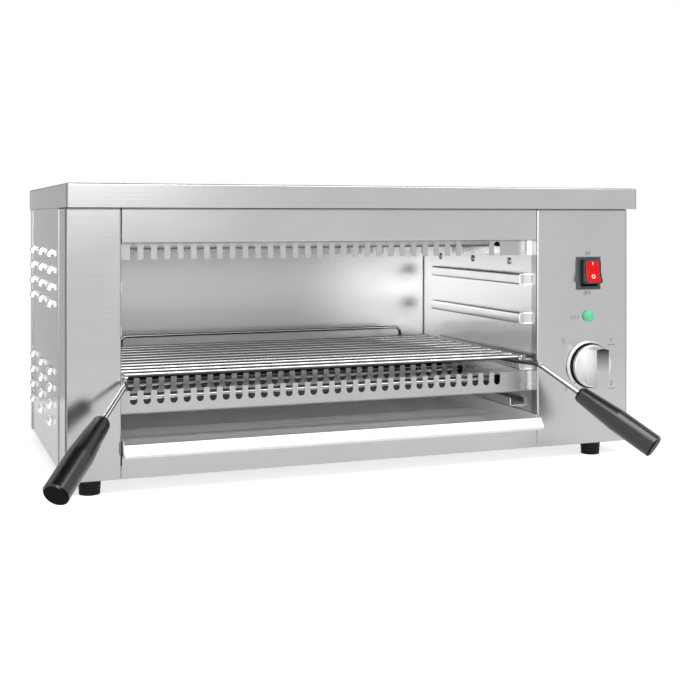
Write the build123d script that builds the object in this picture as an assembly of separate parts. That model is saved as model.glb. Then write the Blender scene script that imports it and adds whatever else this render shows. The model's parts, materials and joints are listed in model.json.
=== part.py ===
from build123d import *
import math
import os

# Countertop salamander grill with an open front, a sliding wire rack and a crumb tray.
# Millimetres, +X to the right of the front, +Y to the back, +Z up.
# The origin is on the worktop, under the middle of the top cover.

# Overall sizes
COVER_WIDTH = 610.0
COVER_DEPTH = 330.0
TOP_HEIGHT = 290.0
FOOT_HEIGHT = 13.3
COVER_SKIRT = 22.5
FRONT_OVERHANG = 16.6

# Sheet metal
SHEET = 1.0
BEND = 2.0
COVER_FIT = 0.2
FLANGE = 12.0
CUT = 5.0
TOUCH = 0.001

# Front panels
LEFT_PANEL_WIDTH = 51.8
CONTROL_PANEL_WIDTH = 112.8
FRONT_RETURN = 56.0
RETURN_HEM = 10.0
HEM_PROUD = 0.9
REAR_RETURN = 16.0
SIDE_LAP = 24.0
FASCIA_HEIGHT = 33.5
FASCIA_RECESS = 0.5
APRON_HEIGHT = 20.7
PANEL_GAP = 0.5

# Liner of the grilling space
LEFT_WALL_SETBACK = 6.0
REAR_GAP = 18.8
CEILING_DROP = 27.0
CEILING_PLAY = 0.5
WALL_RISE = 20.0

# Side louvres
LOUVRE_LENGTH = 20.0
LOUVRE_HEIGHT = 7.0
LOUVRE_DEPTH = 4.0
LOUVRE_SLANT = 1.0
LOUVRE_NOTCH = 1.3
LOUVRE_NOTCH_RISE = 2.0
LOUVRE_BULGE_SHARE = 0.74
LOUVRE_ROWS = 4
LOUVRE_COLUMNS = 3
LOUVRE_PITCH = 17.0
LOUVRE_MIDDLE_SHARE = 0.597
LOUVRE_COLUMN_SHARE = 0.339
UPPER_LOUVRE_DROP = 103.8
LOWER_LOUVRE_RISE = 35.8

# Rear vents and cable entry
VENT_LENGTH = 70.0
VENT_WIDTH = 6.0
VENT_ROWS = 4
VENT_PITCH = 14.0
VENT_DROP = 60.0
GLAND_INSET = 53.8
GLAND_RISE = 32.0
GLAND_BODY = 16.0
GLAND_FLANGE = 24.0
GLAND_FLANGE_THICK = 4.0
GLAND_COLLAR = 18.0
GLAND_PROUD = 10.0
GLAND_BORE = 9.0
GLAND_NUT_THICK = 5.0
GLAND_THREAD = 11.0
GLAND_FIT = 0.2

# Shelf rails
RAIL_STANDOFF = 10.0
RAIL_HEIGHT = 12.0
RAIL_SETBACK = 22.4
RAIL_REAR_GAP = 47.0
RACK_RAIL_GAP = 1.0
BOTTOM_RAIL_GAP = 7.0
BOTTOM_RAIL_SETBACK = 21.0
TOP_RAIL_DROP = 43.0
MIDDLE_RAIL_SHARE = 0.541

# Guard combs
COMB_SETBACK = 18.9
COMB_SPACING_SHARE = 0.326
COMB_HEIGHT = 22.5
COMB_FLANGE = 10.0
COMB_PITCH = 13.0
COMB_SLOT_WIDTH = 7.3
COMB_SLOT_DEPTH = 13.3
UPPER_SLOT_DEPTH = 14.8
COMB_FIRST_SLOT = 21.0
COMB_END = 36.0
COMB_NOTCH_SLOTS = 3
COMB_SLOTS_AFTER_NOTCH = 1
LOWER_COMB_RISE = 56.7

# Heaters
HEATERS = 3
TUBE_DIAMETER = 12.0
TUBE_WALL = 1.2
TUBE_FROM_CEILING = 8.0
TUBE_FROM_COMB = 7.5
TUBE_FIT = 0.2
COIL_DIAMETER = 5.0
HOLDER_LENGTH = 20.0
HOLDER_WIDTH = 22.0
HOLDER_RIM = 4.0
HOLDER_SEAT = 14.0
HOLDER_FOOT = 29.5
HOLDER_SCREW_OFFSET = 22.5
STUD_DIAMETER = 4.0
STUD_LENGTH = 9.0
LINK_WIDTH = 10.0

# Screws
SCREW_DIAMETER = 4.0
SCREW_HEAD = 7.5
SCREW_HEAD_THICK = 1.8
SCREW_LENGTH = 9.0
SCREW_FIT = 0.2
COVER_SCREWS = 3
COVER_SCREW_INSET = 85.0

# Wire rack
ROD = 4.0
SIDE_ROD = 5.0
RACK_RODS = 11
RACK_REAR_PLAY = 37.0
RACK_SETBACK = 16.4
RACK_SIDE_PLAY = 0.6
RACK_LIFT = 0.3
ROD_OVERHANG = 2.5
BACK_STOP_INSET = 40.9
BACK_STOP_RISE = 12.7
BACK_STOP_BEND = 6.0

# Handles; the near end of a grip is measured from the cavity wall, the front face and the rack
HANDLE_ROD = 5.0
HANDLE_BEND = 14.0
HANDLE_SPLAY = 37.9
HANDLE_DROP = 31.3
HANDLE_TOE = 10.0
HANDLE_WELD_GAP = 0.05
LEG_OVERRUN = 6.0
GRIP_REACH = 49.2
GRIP_OUTSET = 19.2
GRIP_DROP = 31.1
GRIP_LENGTH = 93.0
GRIP_NECK = 17.0
GRIP_DIAMETER = 24.0
GRIP_TAPER_SHARE = 0.5
GRIP_EDGE = 1.5
GRIP_SHOULDER = 3.5
GRIP_SHOULDER_SHARE = 0.3
GRIP_BORE_DEPTH = 45.0
GRIP_FIT = 0.1

# Crumb tray
TRAY_PLAY = 1.5
TRAY_LIFT = 0.3
TRAY_WALL = 14.0
TRAY_REAR_PLAY = 10.0
TRAY_WALL_SETBACK = 1.6
TRAY_REACH = 15.6
TRAY_LIP_RISE = 12.0
TRAY_LIP_LEAN = 6.0
TRAY_LIP_OUTSET = 0.8
TRAY_NOSE = 3.0
RUNNER_SETBACK = 14.4

# Rocker switch, centred on the controls line
CONTROL_LINE = 63.0
ROCKER_DROP = 69.5
BEZEL_WIDTH = 29.0
BEZEL_HEIGHT = 35.5
BEZEL_PROUD = 2.5
BEZEL_EDGE = 0.8
HOUSING_LIP = 1.2
HOUSING_DEPTH = 24.0
HOUSING_FIT = 0.2
ROCKER_WIDTH = 21.0
ROCKER_HALF = 14.5
ROCKER_CORNER = 2.5
ROCKER_FACE = 10.5
ROCKER_BACK = 5.0
ROCKER_BACK_HALF = 12.5
ROCKER_PROUD = 6.5
ROCKER_SWING = 19.0
ROCKER_PLAY = 0.3
ROCKER_WELL = 10.0
ROCKER_PIN = 3.0
ROCKER_PIN_PROUD = 1.5
PIN_FIT = 0.05
LENS_WIDTH = 15.8
LENS_THICK = 1.0
LENS_UP = 13.3
LENS_DOWN = 9.1
LENS_CORNER = 1.8
BLADE_WIDTH = 6.3
BLADE_THICK = 0.8
BLADE_LENGTH = 9.0
BLADE_SPREAD_X = 12.0
BLADE_SPREAD_Z = 14.0

# Heat lamp
LAMP_DROP = 46.5
LAMP_DIAMETER = 12.6
LAMP_RIM = 2.4
LAMP_DOME = 3.2
LAMP_STEM = 9.6
LAMP_HOLE_FIT = 0.2
LAMP_BODY = 15.0
LAMP_BODY_LENGTH = 18.0
LAMP_SOCKET = 6.0

# Heat selector and its knob
KNOB_DROP = 53.5
SHAFT = 6.0
SHAFT_FIT = 0.05
SHAFT_HOLE_FIT = 1.0
SELECTOR_SIZE = 38.0
SELECTOR_DEPTH = 28.0
SELECTOR_EDGE = 3.0
SHAFT_SEAT = 20.0
SHAFT_END_PLAY = 0.3
KNOB_GAP = 0.5
SKIRT_RADIUS = 29.3
SKIRT_THICK = 1.5
SKIRT_EDGE = 0.6
RING_RADIUS = 26.3
RING_THICK = 2.6
CAP_RADIUS = 23.4
CAP_THICK = 3.6
CAP_EDGE = 2.4
KNOB_GRIP_WIDTH = 16.6
KNOB_GRIP_RADIUS = 21.4
KNOB_GRIP_HEIGHT = 21.2
KNOB_GRIP_TAPER = 2.5
KNOB_GRIP_EDGE = 0.8
KNOB_GRIP_BORE = 9.0

# Supply
BLOCK_WIDTH = 44.0
BLOCK_DEPTH = 22.0
BLOCK_HEIGHT = 18.0
BLOCK_SETBACK = 30.0
BLOCK_WELL = 6.0
BLOCK_WAYS = 3
WIRE = 3.0
WIRE_BEND = 8.0

# Feet
FOOT_TOP = 21.5
FOOT_BOTTOM = 19.5
FOOT_GROOVE = 0.8
FOOT_GROOVES = 3
FOOT_GROOVE_SHARE = 0.1
FOOT_HOLE = 5.4
FOOT_WELL = 11.0
FOOT_WELL_DEPTH = 6.0
FOOT_LEFT_INSET = 25.0
FOOT_RIGHT_INSET = 42.0
FOOT_FRONT_INSET = 10.4
FOOT_REAR_INSET = 27.0
FOOT_SCREW = 5.0
FOOT_SCREW_HEAD = 9.0
FOOT_SCREW_HEAD_THICK = 3.0
FOOT_SCREW_LENGTH = 14.0

# Faces and lines that the pieces share
BODY_X = COVER_WIDTH / 2 - SHEET - COVER_FIT
FRONT_Y = FRONT_OVERHANG - COVER_DEPTH / 2
REAR_Y = COVER_DEPTH / 2 - SHEET - COVER_FIT
BASE_Z = FOOT_HEIGHT
FLOOR_Z = BASE_Z + SHEET
COVER_Z = TOP_HEIGHT - COVER_SKIRT
COVER_UNDERSIDE = TOP_HEIGHT - SHEET
OPENING_LEFT = LEFT_PANEL_WIDTH - BODY_X
OPENING_RIGHT = BODY_X - CONTROL_PANEL_WIDTH
FASCIA_Z = COVER_Z - FASCIA_HEIGHT
APRON_Z = BASE_Z + APRON_HEIGHT
WALL_LEFT = OPENING_LEFT - LEFT_WALL_SETBACK
WALL_RIGHT = OPENING_RIGHT + SHEET
WALL_FRONT = FRONT_Y + SHEET + SHEET
WALL_REAR = REAR_Y - REAR_GAP
CEILING_Z = COVER_Z - CEILING_DROP
WALL_TOP = CEILING_Z + WALL_RISE
CAVITY_X = (WALL_LEFT + WALL_RIGHT) / 2
SIDE_FACE = BODY_X - SHEET
CONTROL_X = OPENING_RIGHT + CONTROL_LINE
ROCKER_Z = COVER_Z - ROCKER_DROP
LAMP_Z = ROCKER_Z - LAMP_DROP
KNOB_Z = LAMP_Z - KNOB_DROP
COMB_Y = FRONT_Y + COMB_SETBACK
COMB_SPACING = (WALL_REAR - COMB_Y) * COMB_SPACING_SHARE
COMB_SLOTS = int((WALL_RIGHT - WALL_LEFT - COMB_FIRST_SLOT - COMB_END) / COMB_PITCH) + 1
LOWER_COMB_Z = BASE_Z + LOWER_COMB_RISE
UPPER_TUBE_Z = CEILING_Z - TUBE_FROM_CEILING
LOWER_TUBE_Z = LOWER_COMB_Z + TUBE_FROM_COMB
TUBE_PLACES = [COMB_Y + COMB_SPACING * (i + 0.5) for i in range(HEATERS)]
RACK_RAIL_Z = LOWER_COMB_Z + COMB_HEIGHT + RACK_RAIL_GAP + RAIL_HEIGHT
TOP_RAIL_Z = CEILING_Z - TOP_RAIL_DROP
RAIL_TOPS = [
    LOWER_COMB_Z - BOTTOM_RAIL_GAP,
    RACK_RAIL_Z,
    RACK_RAIL_Z + (TOP_RAIL_Z - RACK_RAIL_Z) * MIDDLE_RAIL_SHARE,
    TOP_RAIL_Z,
]
RAIL_Y = FRONT_Y + RAIL_SETBACK
RAIL_FRONTS = [RAIL_Y + BOTTOM_RAIL_SETBACK, RAIL_Y, RAIL_Y, RAIL_Y]
RAIL_REAR = WALL_REAR - RAIL_REAR_GAP
RACK_Z = RACK_RAIL_Z + RACK_LIFT + SIDE_ROD / 2
RACK_FRONT = FRONT_Y + RACK_SETBACK
RACK_REAR = WALL_REAR - RACK_REAR_PLAY
RACK_PITCH = (RACK_REAR - RACK_FRONT) / (RACK_RODS - 1)
RACK_LEFT = OPENING_LEFT + RACK_SIDE_PLAY + SIDE_ROD / 2
RACK_RIGHT = CAVITY_X + CAVITY_X - RACK_LEFT
GRIP_SPREAD = WALL_RIGHT - CAVITY_X + GRIP_OUTSET
GRIP_Z = RACK_Z - GRIP_DROP
TRAY_Z = APRON_Z + TRAY_LIFT
TRAY_LEFT = OPENING_LEFT + TRAY_PLAY
TRAY_RIGHT = OPENING_RIGHT - TRAY_PLAY
GLAND_X = BODY_X - GLAND_INSET
GLAND_Z = BASE_Z + GLAND_RISE
COVER_SCREW_Z = COVER_Z + COVER_SKIRT / 2
FOOT_XS = (FOOT_LEFT_INSET - COVER_WIDTH / 2, COVER_WIDTH / 2 - FOOT_RIGHT_INSET)
FOOT_YS = (FRONT_Y + FOOT_FRONT_INSET, COVER_DEPTH / 2 - FOOT_REAR_INSET)
FOOT_PLACES = [(x, y) for x in FOOT_XS for y in FOOT_YS]

OUT = (0, -1, 0)
BACK = (0, 1, 0)


# Shape helpers

def block(low, high):
    """Box between two opposite corners."""
    size = [b - a for a, b in zip(low, high)]
    return Pos(*low) * Box(*size, align=(Align.MIN, Align.MIN, Align.MIN))


def bent_box(low, high, open_sides, radius):
    """Box whose edges between closed sides are rounded as sheet bends."""
    sides = {"left": (0, low[0]), "right": (0, high[0]), "front": (1, low[1]),
             "back": (1, high[1]), "bottom": (2, low[2]), "top": (2, high[2])}

    def is_bend(edge):
        middle = tuple(edge.center())
        met = [name for name, (axis, place) in sides.items() if abs(middle[axis] - place) < TOUCH]
        return not set(met) & set(open_sides)

    box = block(low, high)
    return fillet(box.edges().filter_by(is_bend), radius)


def pan(low, high, open_sides):
    """Folded sheet box with its open sides left off."""
    inner_low = []
    for side, place in zip(("left", "front", "bottom"), low):
        inner_low.append(place - CUT if side in open_sides else place + SHEET)
    inner_high = []
    for side, place in zip(("right", "back", "top"), high):
        inner_high.append(place + CUT if side in open_sides else place - SHEET)
    return bent_box(low, high, open_sides, BEND) - bent_box(inner_low, inner_high, open_sides, BEND - SHEET)


def rod(start, direction, diameter, length):
    """Round bar from a point along a direction."""
    return extrude(Plane(origin=start, z_dir=direction) * Circle(diameter / 2), amount=length)


def wire(points, bend, diameter):
    """Round wire along straight runs joined by bends."""
    path = FilletPolyline(*points, radius=bend)
    section = Plane(origin=path @ 0, z_dir=path % 0) * Circle(diameter / 2)
    return sweep(section, path=path)


def turned(outline, origin, direction):
    """Solid of revolution from (radius, height) points, standing on origin."""
    face = make_face(Polyline(*outline, close=True))
    return Plane(origin=origin, z_dir=direction) * revolve(Plane.XZ * face, axis=Axis.Z)


def screw(place, direction, diameter, head, head_thick, length):
    """Pan-head screw with its head on place and its shank along direction."""
    shank = rod(place, direction, diameter, length)
    away = [-part for part in direction]
    return shank + rod(place, away, head, head_thick)


# Casing

def cover_screw_places(y):
    first = COVER_SCREW_INSET - COVER_WIDTH / 2
    pitch = (first + first) / (1 - COVER_SCREWS)
    return [(first + i * pitch, y, COVER_SCREW_Z) for i in range(COVER_SCREWS)]


def cover_screw_holes():
    return [rod(place, BACK, SCREW_DIAMETER + SCREW_FIT + SCREW_FIT, REAR_RETURN)
            for place in cover_screw_places(REAR_Y - REAR_RETURN / 2)]


def make_top_cover():
    half_x = COVER_WIDTH / 2
    half_y = COVER_DEPTH / 2
    shell = pan((-half_x, -half_y, COVER_Z), (half_x, half_y, TOP_HEIGHT), ("bottom",))
    hem = block((SHEET - half_x, SHEET - half_y, COVER_Z),
                (half_x - SHEET, FRONT_Y + FLANGE, COVER_Z + SHEET))
    return shell + hem - cover_screw_holes()


def make_cover_screws():
    return [screw(place, OUT, SCREW_DIAMETER, SCREW_HEAD, SCREW_HEAD_THICK, SCREW_LENGTH)
            for place in cover_screw_places(COVER_DEPTH / 2)]


def louvre_form(depth, height, length):
    """Pressed hood: a bulged section along Y with slanted ends, open below."""
    crown = (depth * LOUVRE_BULGE_SHARE, height * LOUVRE_BULGE_SHARE)
    section = make_face([
        Line((0, height), (0, 0)),
        Line((0, 0), (depth, 0)),
        ThreePointArc((depth, 0), crown, (0, height)),
    ])
    half = length / 2
    inner_half = half - LOUVRE_SLANT
    plan = make_face(Polyline((0, -half), (depth, -inner_half), (depth, inner_half), (0, half), close=True))
    return extrude(Plane.XZ * section, amount=half, both=True) & extrude(plan, amount=height)


def louvre_places():
    front = FRONT_Y + FRONT_RETURN
    rear = REAR_Y - REAR_RETURN
    column_pitch = (rear - front) * LOUVRE_COLUMN_SHARE
    middle = (LOUVRE_COLUMNS - 1) / 2
    upper = COVER_UNDERSIDE - UPPER_LOUVRE_DROP - LOUVRE_PITCH
    lower = BASE_Z + LOWER_LOUVRE_RISE
    for column in range(LOUVRE_COLUMNS):
        y = front + (rear - front) * LOUVRE_MIDDLE_SHARE + (column - middle) * column_pitch
        for row in range(LOUVRE_ROWS):
            yield y, upper + row * LOUVRE_PITCH
            yield y, lower + row * LOUVRE_PITCH


def make_side_panel():
    """Left side panel: flat sheet with a top flange and pressed louvres."""
    low = (-SIDE_FACE, FRONT_Y + FRONT_RETURN - SIDE_LAP, BASE_Z)
    high = (FLANGE - SIDE_FACE, REAR_Y - BEND, COVER_UNDERSIDE)
    panel = pan(low, high, ("right", "front", "back", "bottom"))
    inner_length = LOUVRE_LENGTH - SHEET - SHEET
    hollow = louvre_form(LOUVRE_DEPTH - SHEET, LOUVRE_HEIGHT - SHEET, inner_length)
    notch = block((0, -LOUVRE_LENGTH, -CUT), (LOUVRE_NOTCH, LOUVRE_LENGTH, LOUVRE_NOTCH_RISE))
    hood = louvre_form(LOUVRE_DEPTH, LOUVRE_HEIGHT, LOUVRE_LENGTH) - hollow - notch
    slot_half = inner_length / 2 - SHEET
    slot = block((-SHEET - CUT, -slot_half, 0), (0, slot_half, LOUVRE_HEIGHT - SHEET - SHEET))
    facing_left = Rot(0, 0, 180)
    places = [Pos(-SIDE_FACE, y, z) * facing_left for y, z in louvre_places()]
    panel = panel - [place * slot for place in places]
    return panel + [place * hood for place in places]


def make_rear_panel():
    top = TOP_HEIGHT - BEND
    panel = pan((-BODY_X, REAR_Y - REAR_RETURN, BASE_Z), (BODY_X, REAR_Y, top), ("front", "bottom", "top"))
    facing_back = Plane(origin=(0, REAR_Y - REAR_RETURN, 0), x_dir=(-1, 0, 0), z_dir=BACK)
    vents = []
    for side in (-1, 1):
        for row in range(VENT_ROWS):
            place = Pos(side * BODY_X / 2, COVER_Z - VENT_DROP - row * VENT_PITCH)
            vents.append(extrude(facing_back * place * SlotOverall(VENT_LENGTH, VENT_WIDTH),
                                 amount=REAR_RETURN + CUT))
    entry = rod((GLAND_X, REAR_Y - REAR_RETURN, GLAND_Z), BACK,
                GLAND_BODY + GLAND_FIT + GLAND_FIT, REAR_RETURN + CUT)
    return panel - vents - entry - cover_screw_holes()


def make_base_pan():
    inset = SIDE_FACE - SHEET
    floor = pan((-inset, FRONT_Y + SHEET, BASE_Z), (inset, REAR_Y - SHEET, BASE_Z + FLANGE), ("top",))
    holes = [rod((x, y, 0), (0, 0, 1), FOOT_SCREW + SCREW_FIT + SCREW_FIT, BASE_Z + FLANGE)
             for x, y in FOOT_PLACES]
    return floor - holes


def trim_returns(panel, low_x, high_x):
    """Cuts a front panel's top and opening-side returns to flange depth, clear of the base pan."""
    deep = block((low_x, FRONT_Y + FLANGE, BASE_Z - CUT),
                 (high_x, FRONT_Y + FRONT_RETURN + CUT, COVER_Z + CUT))
    foot = block((low_x, FRONT_Y + SHEET, BASE_Z - CUT),
                 (high_x, FRONT_Y + FLANGE + CUT, BASE_Z + FLANGE))
    return panel - deep - foot


def return_hem(low_x, high_x):
    """Hem folded outwards along the rear edge of a front panel's side return."""
    edge = FRONT_Y + FRONT_RETURN
    return block((low_x, edge - RETURN_HEM, BASE_Z), (high_x, edge, COVER_Z - PANEL_GAP))


def make_left_front_panel():
    panel = pan((-BODY_X, FRONT_Y, BASE_Z), (OPENING_LEFT, FRONT_Y + FRONT_RETURN, COVER_Z),
                ("back", "bottom"))
    panel = trim_returns(panel, SHEET - BODY_X, OPENING_LEFT + CUT)
    return panel + return_hem(-BODY_X - HEM_PROUD, -BODY_X)


def make_control_panel():
    panel = pan((OPENING_RIGHT, FRONT_Y, BASE_Z), (BODY_X, FRONT_Y + FRONT_RETURN, COVER_Z),
                ("back", "bottom"))
    panel = trim_returns(panel, OPENING_RIGHT - CUT, BODY_X - SHEET)
    panel = panel + return_hem(BODY_X, BODY_X + HEM_PROUD)
    half_width = BEZEL_WIDTH / 2 - HOUSING_LIP + HOUSING_FIT
    half_height = BEZEL_HEIGHT / 2 - HOUSING_LIP + HOUSING_FIT
    switch_cut = block((CONTROL_X - half_width, FRONT_Y - CUT, ROCKER_Z - half_height),
                       (CONTROL_X + half_width, FRONT_Y + CUT, ROCKER_Z + half_height))
    lamp_hole = rod((CONTROL_X, FRONT_Y - CUT, LAMP_Z), BACK,
                    LAMP_STEM + LAMP_HOLE_FIT + LAMP_HOLE_FIT, CUT + CUT)
    shaft_hole = rod((CONTROL_X, FRONT_Y - CUT, KNOB_Z), BACK,
                     SHAFT + SHAFT_HOLE_FIT + SHAFT_HOLE_FIT, CUT + CUT)
    return panel - switch_cut - lamp_hole - shaft_hole


def make_upper_fascia():
    front = FRONT_Y + FASCIA_RECESS
    return pan((OPENING_LEFT + PANEL_GAP, front, FASCIA_Z),
               (OPENING_RIGHT - PANEL_GAP, front + FLANGE, COVER_Z), ("back", "left", "right"))


def make_lower_apron():
    return pan((OPENING_LEFT + PANEL_GAP, FRONT_Y, BASE_Z),
               (OPENING_RIGHT - PANEL_GAP, FRONT_Y + FLANGE, APRON_Z), ("back", "left", "right", "bottom"))


# Liner, rails and runners

def tube_passages(wall_x):
    """Holes of the six tubes and of the upper holders' screws through a side wall."""
    start = wall_x - SHEET - CUT
    length = SHEET + CUT + SHEET + CUT
    holes = []
    for y in TUBE_PLACES:
        for z in (UPPER_TUBE_Z, LOWER_TUBE_Z):
            holes.append(rod((start, y, z), (1, 0, 0), TUBE_DIAMETER + TUBE_FIT + TUBE_FIT, length))
        screw_z = UPPER_TUBE_Z - HOLDER_SCREW_OFFSET
        holes.append(rod((start, y, screw_z), (1, 0, 0), SCREW_DIAMETER + SCREW_FIT + SCREW_FIT, length))
    return holes


def make_cavity_left_wall():
    wall = pan((WALL_LEFT - FLANGE, WALL_FRONT, FLOOR_Z), (WALL_LEFT, WALL_REAR + FLANGE, WALL_TOP),
               ("left", "back", "top"))
    return wall - tube_passages(WALL_LEFT)


def make_cavity_right_wall():
    wall = pan((WALL_RIGHT, WALL_FRONT, FLOOR_Z), (WALL_RIGHT + FLANGE, WALL_REAR + FLANGE, WALL_TOP),
               ("right", "back", "top"))
    return wall - tube_passages(WALL_RIGHT)


def make_cavity_rear_wall():
    return pan((WALL_LEFT, WALL_REAR, FLOOR_Z), (WALL_RIGHT, WALL_REAR + FLANGE, WALL_TOP), ("back", "top"))


def make_ceiling_reflector():
    front = FRONT_Y + FASCIA_RECESS + FLANGE + CEILING_PLAY
    return pan((WALL_LEFT, front, CEILING_Z), (WALL_RIGHT, WALL_REAR, CEILING_Z + FLANGE), ("top",))


def make_shelf_rails(wall_x, into):
    """Channel rails with closed front ends on one wall; into points to the cavity along X."""
    face_x = wall_x + into * RAIL_STANDOFF
    open_side = "left" if into > 0 else "right"
    rails = []
    for top, front in zip(RAIL_TOPS, RAIL_FRONTS):
        low = (min(wall_x, face_x), front, top - RAIL_HEIGHT)
        high = (max(wall_x, face_x), RAIL_REAR, top)
        rails.append(pan(low, high, (open_side, "back")))
    return rails


def make_tray_runner(wall_x, into):
    """Angle on one wall that carries the side of the crumb tray."""
    edge_x = wall_x + into * FLANGE
    open_side = "right" if into > 0 else "left"
    low = (min(wall_x, edge_x), FRONT_Y + RUNNER_SETBACK, APRON_Z - FLANGE)
    high = (max(wall_x, edge_x), WALL_REAR, APRON_Z)
    return pan(low, high, (open_side, "front", "back", "bottom"))


# Guard combs and heaters

def make_comb(slot_depth, notched):
    """Angle strip with U slots in its upright leg, standing on its flange at z = 0."""
    strip = pan((WALL_LEFT, 0, 0), (WALL_RIGHT, COMB_FLANGE, COMB_HEIGHT), ("left", "right", "back", "top"))
    radius = COMB_SLOT_WIDTH / 2
    slot_z = COMB_HEIGHT - slot_depth + radius
    upright = block((-radius, -CUT, slot_z), (radius, CUT, COMB_HEIGHT + CUT))
    slot = upright + rod((0, -CUT, slot_z), BACK, COMB_SLOT_WIDTH, CUT + CUT)
    first = WALL_LEFT + COMB_FIRST_SLOT
    strip = strip - [Pos(first + i * COMB_PITCH, 0, 0) * slot for i in range(COMB_SLOTS)]
    if notched:
        last = COMB_SLOTS - 1 - COMB_SLOTS_AFTER_NOTCH
        notch_low = first + (last + 1 - COMB_NOTCH_SLOTS) * COMB_PITCH - radius
        notch_high = first + last * COMB_PITCH + radius
        strip = strip - block((notch_low, -CUT, COMB_HEIGHT - slot_depth),
                              (notch_high, CUT, COMB_HEIGHT + CUT))
    return strip


def make_upper_comb(row):
    hanging = mirror(make_comb(UPPER_SLOT_DEPTH, notched=True), about=Plane.XY)
    return Pos(0, COMB_Y + row * COMB_SPACING, CEILING_Z) * hanging


def make_lower_comb(row):
    return Pos(0, COMB_Y + row * COMB_SPACING, LOWER_COMB_Z) * make_comb(COMB_SLOT_DEPTH, notched=False)


def make_tube(y, z):
    start = WALL_LEFT - SHEET - HOLDER_SEAT + TUBE_FIT
    length = WALL_RIGHT + SHEET + HOLDER_SEAT - TUBE_FIT - start
    outer = rod((start, y, z), (1, 0, 0), TUBE_DIAMETER, length)
    return outer - rod((start, y, z), (1, 0, 0), TUBE_DIAMETER - TUBE_WALL - TUBE_WALL, length)


def make_coil(y, z):
    start = WALL_LEFT - SHEET - HOLDER_SEAT
    length = WALL_RIGHT + SHEET + HOLDER_SEAT - start
    return rod((start, y, z), (1, 0, 0), COIL_DIAMETER, length)


def tube_ends():
    """Wall face, outward direction, Y and Z of each tube end."""
    for wall_x, away in ((WALL_LEFT - SHEET, -1), (WALL_RIGHT + SHEET, 1)):
        for y in TUBE_PLACES:
            yield wall_x, away, y, UPPER_TUBE_Z, -1
            yield wall_x, away, y, LOWER_TUBE_Z, 1


def make_holder(wall_x, away, y, z, foot):
    """Ceramic block with a blind seat for the tube and a foot with the screw hole."""
    end_x = wall_x + away * HOLDER_LENGTH
    top = z - foot * (TUBE_DIAMETER / 2 + HOLDER_RIM)
    low = (min(wall_x, end_x), y - HOLDER_WIDTH / 2, min(top, z + foot * HOLDER_FOOT))
    high = (max(wall_x, end_x), y + HOLDER_WIDTH / 2, max(top, z + foot * HOLDER_FOOT))
    seat = rod((wall_x, y, z), (away, 0, 0), TUBE_DIAMETER + TUBE_FIT + TUBE_FIT, HOLDER_SEAT)
    screw_hole = rod((wall_x, y, z + foot * HOLDER_SCREW_OFFSET), (away, 0, 0),
                     SCREW_DIAMETER + SCREW_FIT + SCREW_FIT, SCREW_LENGTH)
    return block(low, high) - seat - screw_hole


def make_holder_screws():
    """Screws of the upper holders, with their heads inside the cavity."""
    screws = []
    for wall_x, away in ((WALL_LEFT, -1), (WALL_RIGHT, 1)):
        for y in TUBE_PLACES:
            place = (wall_x, y, UPPER_TUBE_Z - HOLDER_SCREW_OFFSET)
            screws.append(screw(place, (away, 0, 0), SCREW_DIAMETER, SCREW_HEAD,
                                SCREW_HEAD_THICK, SCREW_LENGTH))
    return screws


def make_stud(wall_x, away, y, z, foot):
    return rod((wall_x + away * HOLDER_LENGTH, y, z), (away, 0, 0), STUD_DIAMETER, STUD_LENGTH)


def make_element_links():
    """Strips that join the three studs of a row, against the holders' ends."""
    links = []
    half = LINK_WIDTH / 2
    for wall_x, away in ((WALL_LEFT - SHEET, -1), (WALL_RIGHT + SHEET, 1)):
        near = wall_x + away * HOLDER_LENGTH
        far = near + away * SHEET
        for z in (UPPER_TUBE_Z, LOWER_TUBE_Z):
            strip = block((min(near, far), TUBE_PLACES[0] - half, z - half),
                          (max(near, far), TUBE_PLACES[-1] + half, z + half))
            holes = [rod((near, y, z), (away, 0, 0), STUD_DIAMETER + SCREW_FIT + SCREW_FIT, SHEET)
                     for y in TUBE_PLACES]
            links.append(strip - holes)
    return links


# Rocker switch. Depths are measured out from the front face of the control panel.

PIVOT_Y = FRONT_Y - BEZEL_PROUD - ROCKER_PROUD + ROCKER_FACE


def make_rocker_housing():
    half_width = BEZEL_WIDTH / 2
    half_height = BEZEL_HEIGHT / 2
    bezel = block((CONTROL_X - half_width, FRONT_Y - BEZEL_PROUD, ROCKER_Z - half_height),
                  (CONTROL_X + half_width, FRONT_Y, ROCKER_Z + half_height))
    bezel = chamfer(bezel.faces().sort_by(Axis.Y)[0].edges(), BEZEL_EDGE)
    body_width = half_width - HOUSING_LIP
    body_height = half_height - HOUSING_LIP
    body = block((CONTROL_X - body_width, FRONT_Y, ROCKER_Z - body_height),
                 (CONTROL_X + body_width, FRONT_Y + HOUSING_DEPTH, ROCKER_Z + body_height))
    well_width = ROCKER_WIDTH / 2 + ROCKER_PLAY
    well_height = ROCKER_HALF - ROCKER_PLAY
    well = block((CONTROL_X - well_width, FRONT_Y - BEZEL_PROUD - CUT, ROCKER_Z - well_height),
                 (CONTROL_X + well_width, PIVOT_Y + ROCKER_WELL, ROCKER_Z + well_height))
    pin_half = well_width + ROCKER_PIN_PROUD
    pin_holes = rod((CONTROL_X - pin_half, PIVOT_Y, ROCKER_Z), (1, 0, 0),
                    ROCKER_PIN + PIN_FIT + PIN_FIT, pin_half + pin_half)
    return bezel + body - well - pin_holes


def swung(point):
    """The place on the lower half of the rocker of an (out, up) point on its upper half."""
    swing = math.radians(ROCKER_SWING)
    out, up = point
    return (out * math.cos(swing) + up * math.sin(swing), out * math.sin(swing) - up * math.cos(swing))


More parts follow.
